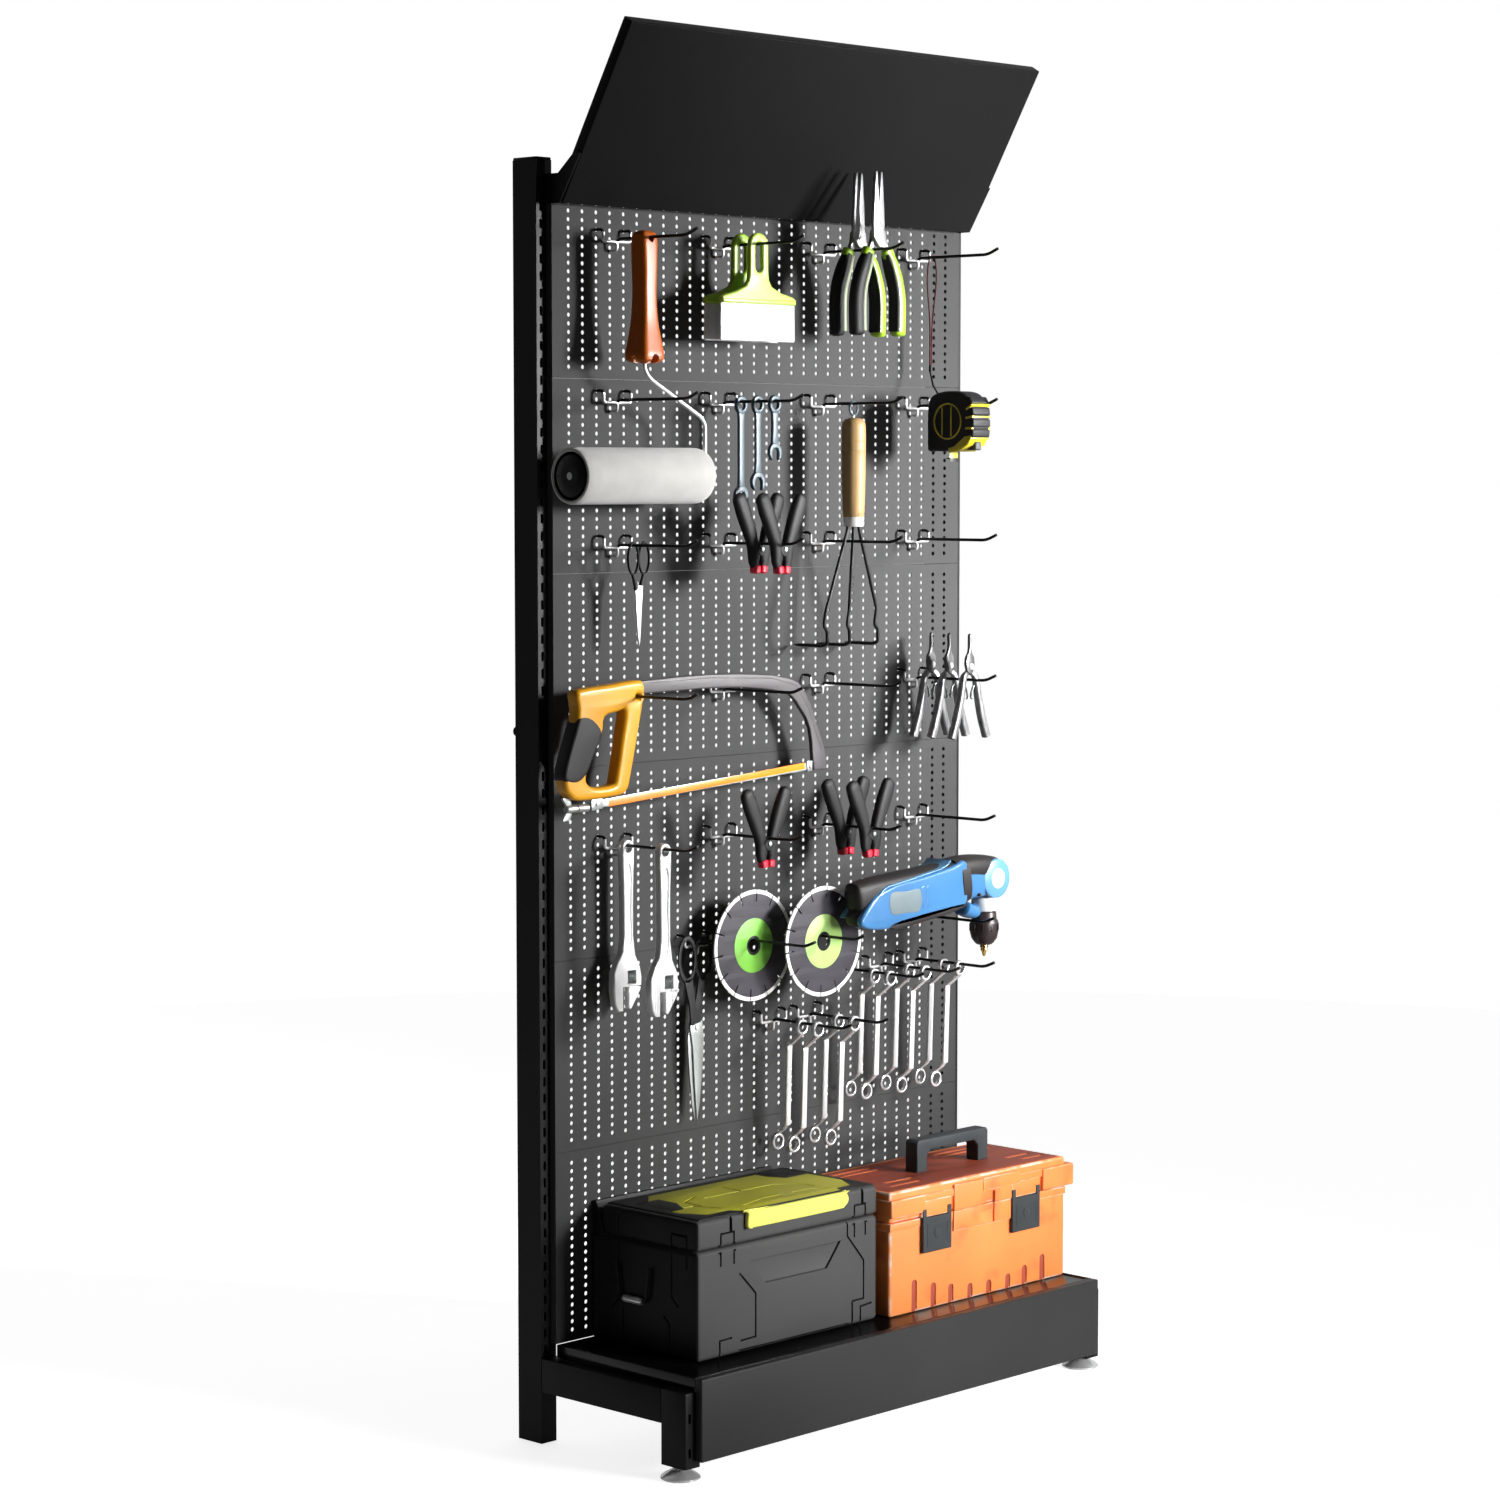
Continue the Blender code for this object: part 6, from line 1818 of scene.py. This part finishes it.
def make_cultivator():
    """A three-tine hand rake with a turned beech handle, hung by its eye."""
    x, y = column_x(19), PANEL_Y - 0.079
    prong = prong_z(1)
    eye_z = prong + PRONG_WIRE - 0.0098
    eye = wire(
        "rake_eye",
        [Vector((u, y, v)) for u, v in ring(x, eye_z, 0.009, 0.0105, 28)] + [Vector((x + 0.009, y, eye_z))], 0.0016,
        10,
    )
    hook = wire("rake_eye_stem", [(x, y, eye_z - 0.01), (x, y, 1.508)], 0.0016, 10)
    handle = lathe("rake_handle", mm([
        (0.1, 1516), (6, 1515.8), (13, 1514), (17.2, 1510), (18.6, 1504), (19, 1490), (18.9, 1480), (18.4, 1479.4),
        (18.9, 1478.8), (19, 1466), (18.5, 1465.4), (18.9, 1464.8), (18.6, 1430), (18, 1400), (17.2, 1376),
        (16.4, 1364), (15, 1361.8), (0.1, 1361.6),
    ]), (x, y, 0), "Z", 40)
    ferrule = lathe("rake_ferrule", mm([
        (0.1, 1364), (15.6, 1364), (16.4, 1363), (15.8, 1350), (15, 1348.4), (0.1, 1348),
    ]), (x, y, 0), "Z", 40)
    pieces = [(eye, BLUE_PAINT), (hook, WHITE_WIRE), (handle, BEECH), (ferrule, BRUSHED)]
    for index, (top, wide, shift) in enumerate((
        (-0.013, -0.067, 0.008), (0.0, -0.014, 0.006), (0.013, 0.049, 0.008),
    )):
        route = [
            (x + top, y, 1.356), (x + top, y, 1.344), (x + wide + 0.005, y, 1.22), (x + wide, y, 1.196),
            (x + wide + shift, y, 1.188), (x + wide + shift, y, 1.169), (x + wide + shift, y + 0.01, 1.1655),
            (x + wide + shift, y + 0.056, 1.1655),
        ]
        pieces.append((wire(f"rake_tine_{index}", bent(route, 0.006, 5), 0.0028, 12), DARK_WIRE))
        pieces.append((lathe(
            f"rake_point_{index}", mm([(2.8, 0), (2.6, 4), (1.2, 13), (0.1, 16)]),
            (x + wide + shift, y + 0.056, 1.1655), "Y", 14,
        ), DARK_WIRE))
    put_joined("hand_rake", pieces, "wall")


def make_small_scissors():
    """Slim hairdressing-style scissors, hung closed by one loop."""
    x, y = -0.3262, PANEL_Y - 0.052
    prong = prong_z(2)
    loop_z = prong + PRONG_WIRE - 0.0215
    pieces = []
    for side in (-1, 1):
        level = y + side * 0.0014
        middle = x + side * 0.0125
        loop = slab("loop", [
            ring(middle, loop_z, 0.0118, 0.025, 32), ring(middle, loop_z, 0.0088, 0.0215, 32),
        ], 0.0046, level, soft=0.002, steps=4)
        neck = limb("neck", [
            (middle, loop_z - 0.0235, 0.0034, 0.0026), (x + side * 0.0085, loop_z - 0.035, 0.0038, 0.0028),
            (x + side * 0.006, loop_z - 0.046, 0.0042, 0.0026),
        ], level, sides=14, ends=(0.4, 0.2))
        blade = slab(
            "blade",
            [at(x, loop_z, [
                (-7, -40), (8.5, -40), (7.2, -70), (3, -115), (0.8, -129), (-1, -120), (-4, -80),
            ], side)[::-side]],
            0.0022, level, soft=0.0006,
        )
        pieces += [(loop, GRIP_BLACK), (neck, GRIP_BLACK), (blade, BRUSHED)]
    pieces.append((lathe("rivet", mm([
        (0.1, -0.8), (2.2, -0.6), (2.8, 0), (2.8, 5.6), (2.2, 6.2), (0.1, 6.4),
    ]), (x, y - 0.0028, loop_z - 0.062), "Y", 18), SATIN))
    put_joined("small_scissors", pieces, "wall")


def make_tools():
    """Everything that hangs on the hooks; the copies behind the first ones ride on the wall."""
    make_roller()
    make_scraper("scraper_front", LIME)
    make_scraper("scraper_rear", LIME_DEEP)
    levers = ("pliers_lever_front", "pliers_lever_rear")
    needle_nose("needle_pliers", column_x(19), PANEL_Y - 0.128, ("wall", "pliers_rear"), levers)
    needle_nose("needle_pliers_back", column_x(19), PANEL_Y - 0.087, ("wall", "wall"))
    make_tape()
    make_hacksaw()
    wrench_y = middle_y("adjustable_wrench_body")
    adjustable_wrench(
        "wrench_front", column_x(3), wrench_y, "wall", "wrench_jaw",
        ("adjustable_wrench_body", "adjustable_wrench_jaw"),
    )
    adjustable_wrench("wrench_back", column_x(3), PANEL_Y - 0.03, "wall", "wall")
    make_large_scissors()
    make_disc("left", LABEL_GREEN)
    make_disc("right", LABEL_PALE)
    make_drill()
    clamp_halves = ("clamp_half_front", "clamp_half_rear")
    spring_clamp("clamp_left", column_x(11), PANEL_Y - 0.105, prong_z(4), ("clamp_front", "wall"), clamp_halves)
    for name, column, back, row in (
        ("clamp_right_front", 19, 0.116, 4), ("clamp_right_back", 19, 0.064, 4), ("clamp_upper_front", 11, 0.137, 2),
        ("clamp_upper_back", 11, 0.089, 2),
    ):
        spring_clamp(name, column_x(column), PANEL_Y - back, prong_z(row), ("wall", "wall"))
    for index, (back, lowest) in enumerate(((0.052, 1.383), (0.087, 1.405), (0.122, 1.45))):
        open_wrench(f"open_wrench_{index + 1}", PANEL_Y - back, lowest)
    for column in (15, 18, 21, 24, 27):
        prong = prong_z(7) if column < 20 else prong_z(6)
        for index, back in enumerate((0.074, 0.108)):
            ring_spanner(f"ring_spanner_{column}_{index + 1}", column, prong, PANEL_Y - back)
    for index, back in enumerate((0.045, 0.083, 0.126)):
        silver_pliers(f"snips_{index + 1}", PANEL_Y - back)
    make_cultivator()
    make_small_scissors()


def main():
    make_camera()
    make_lanyard()
    make_studio()
    make_frame()
    make_hooks()
    make_black_box()
    make_orange_box()
    make_tools()


main()
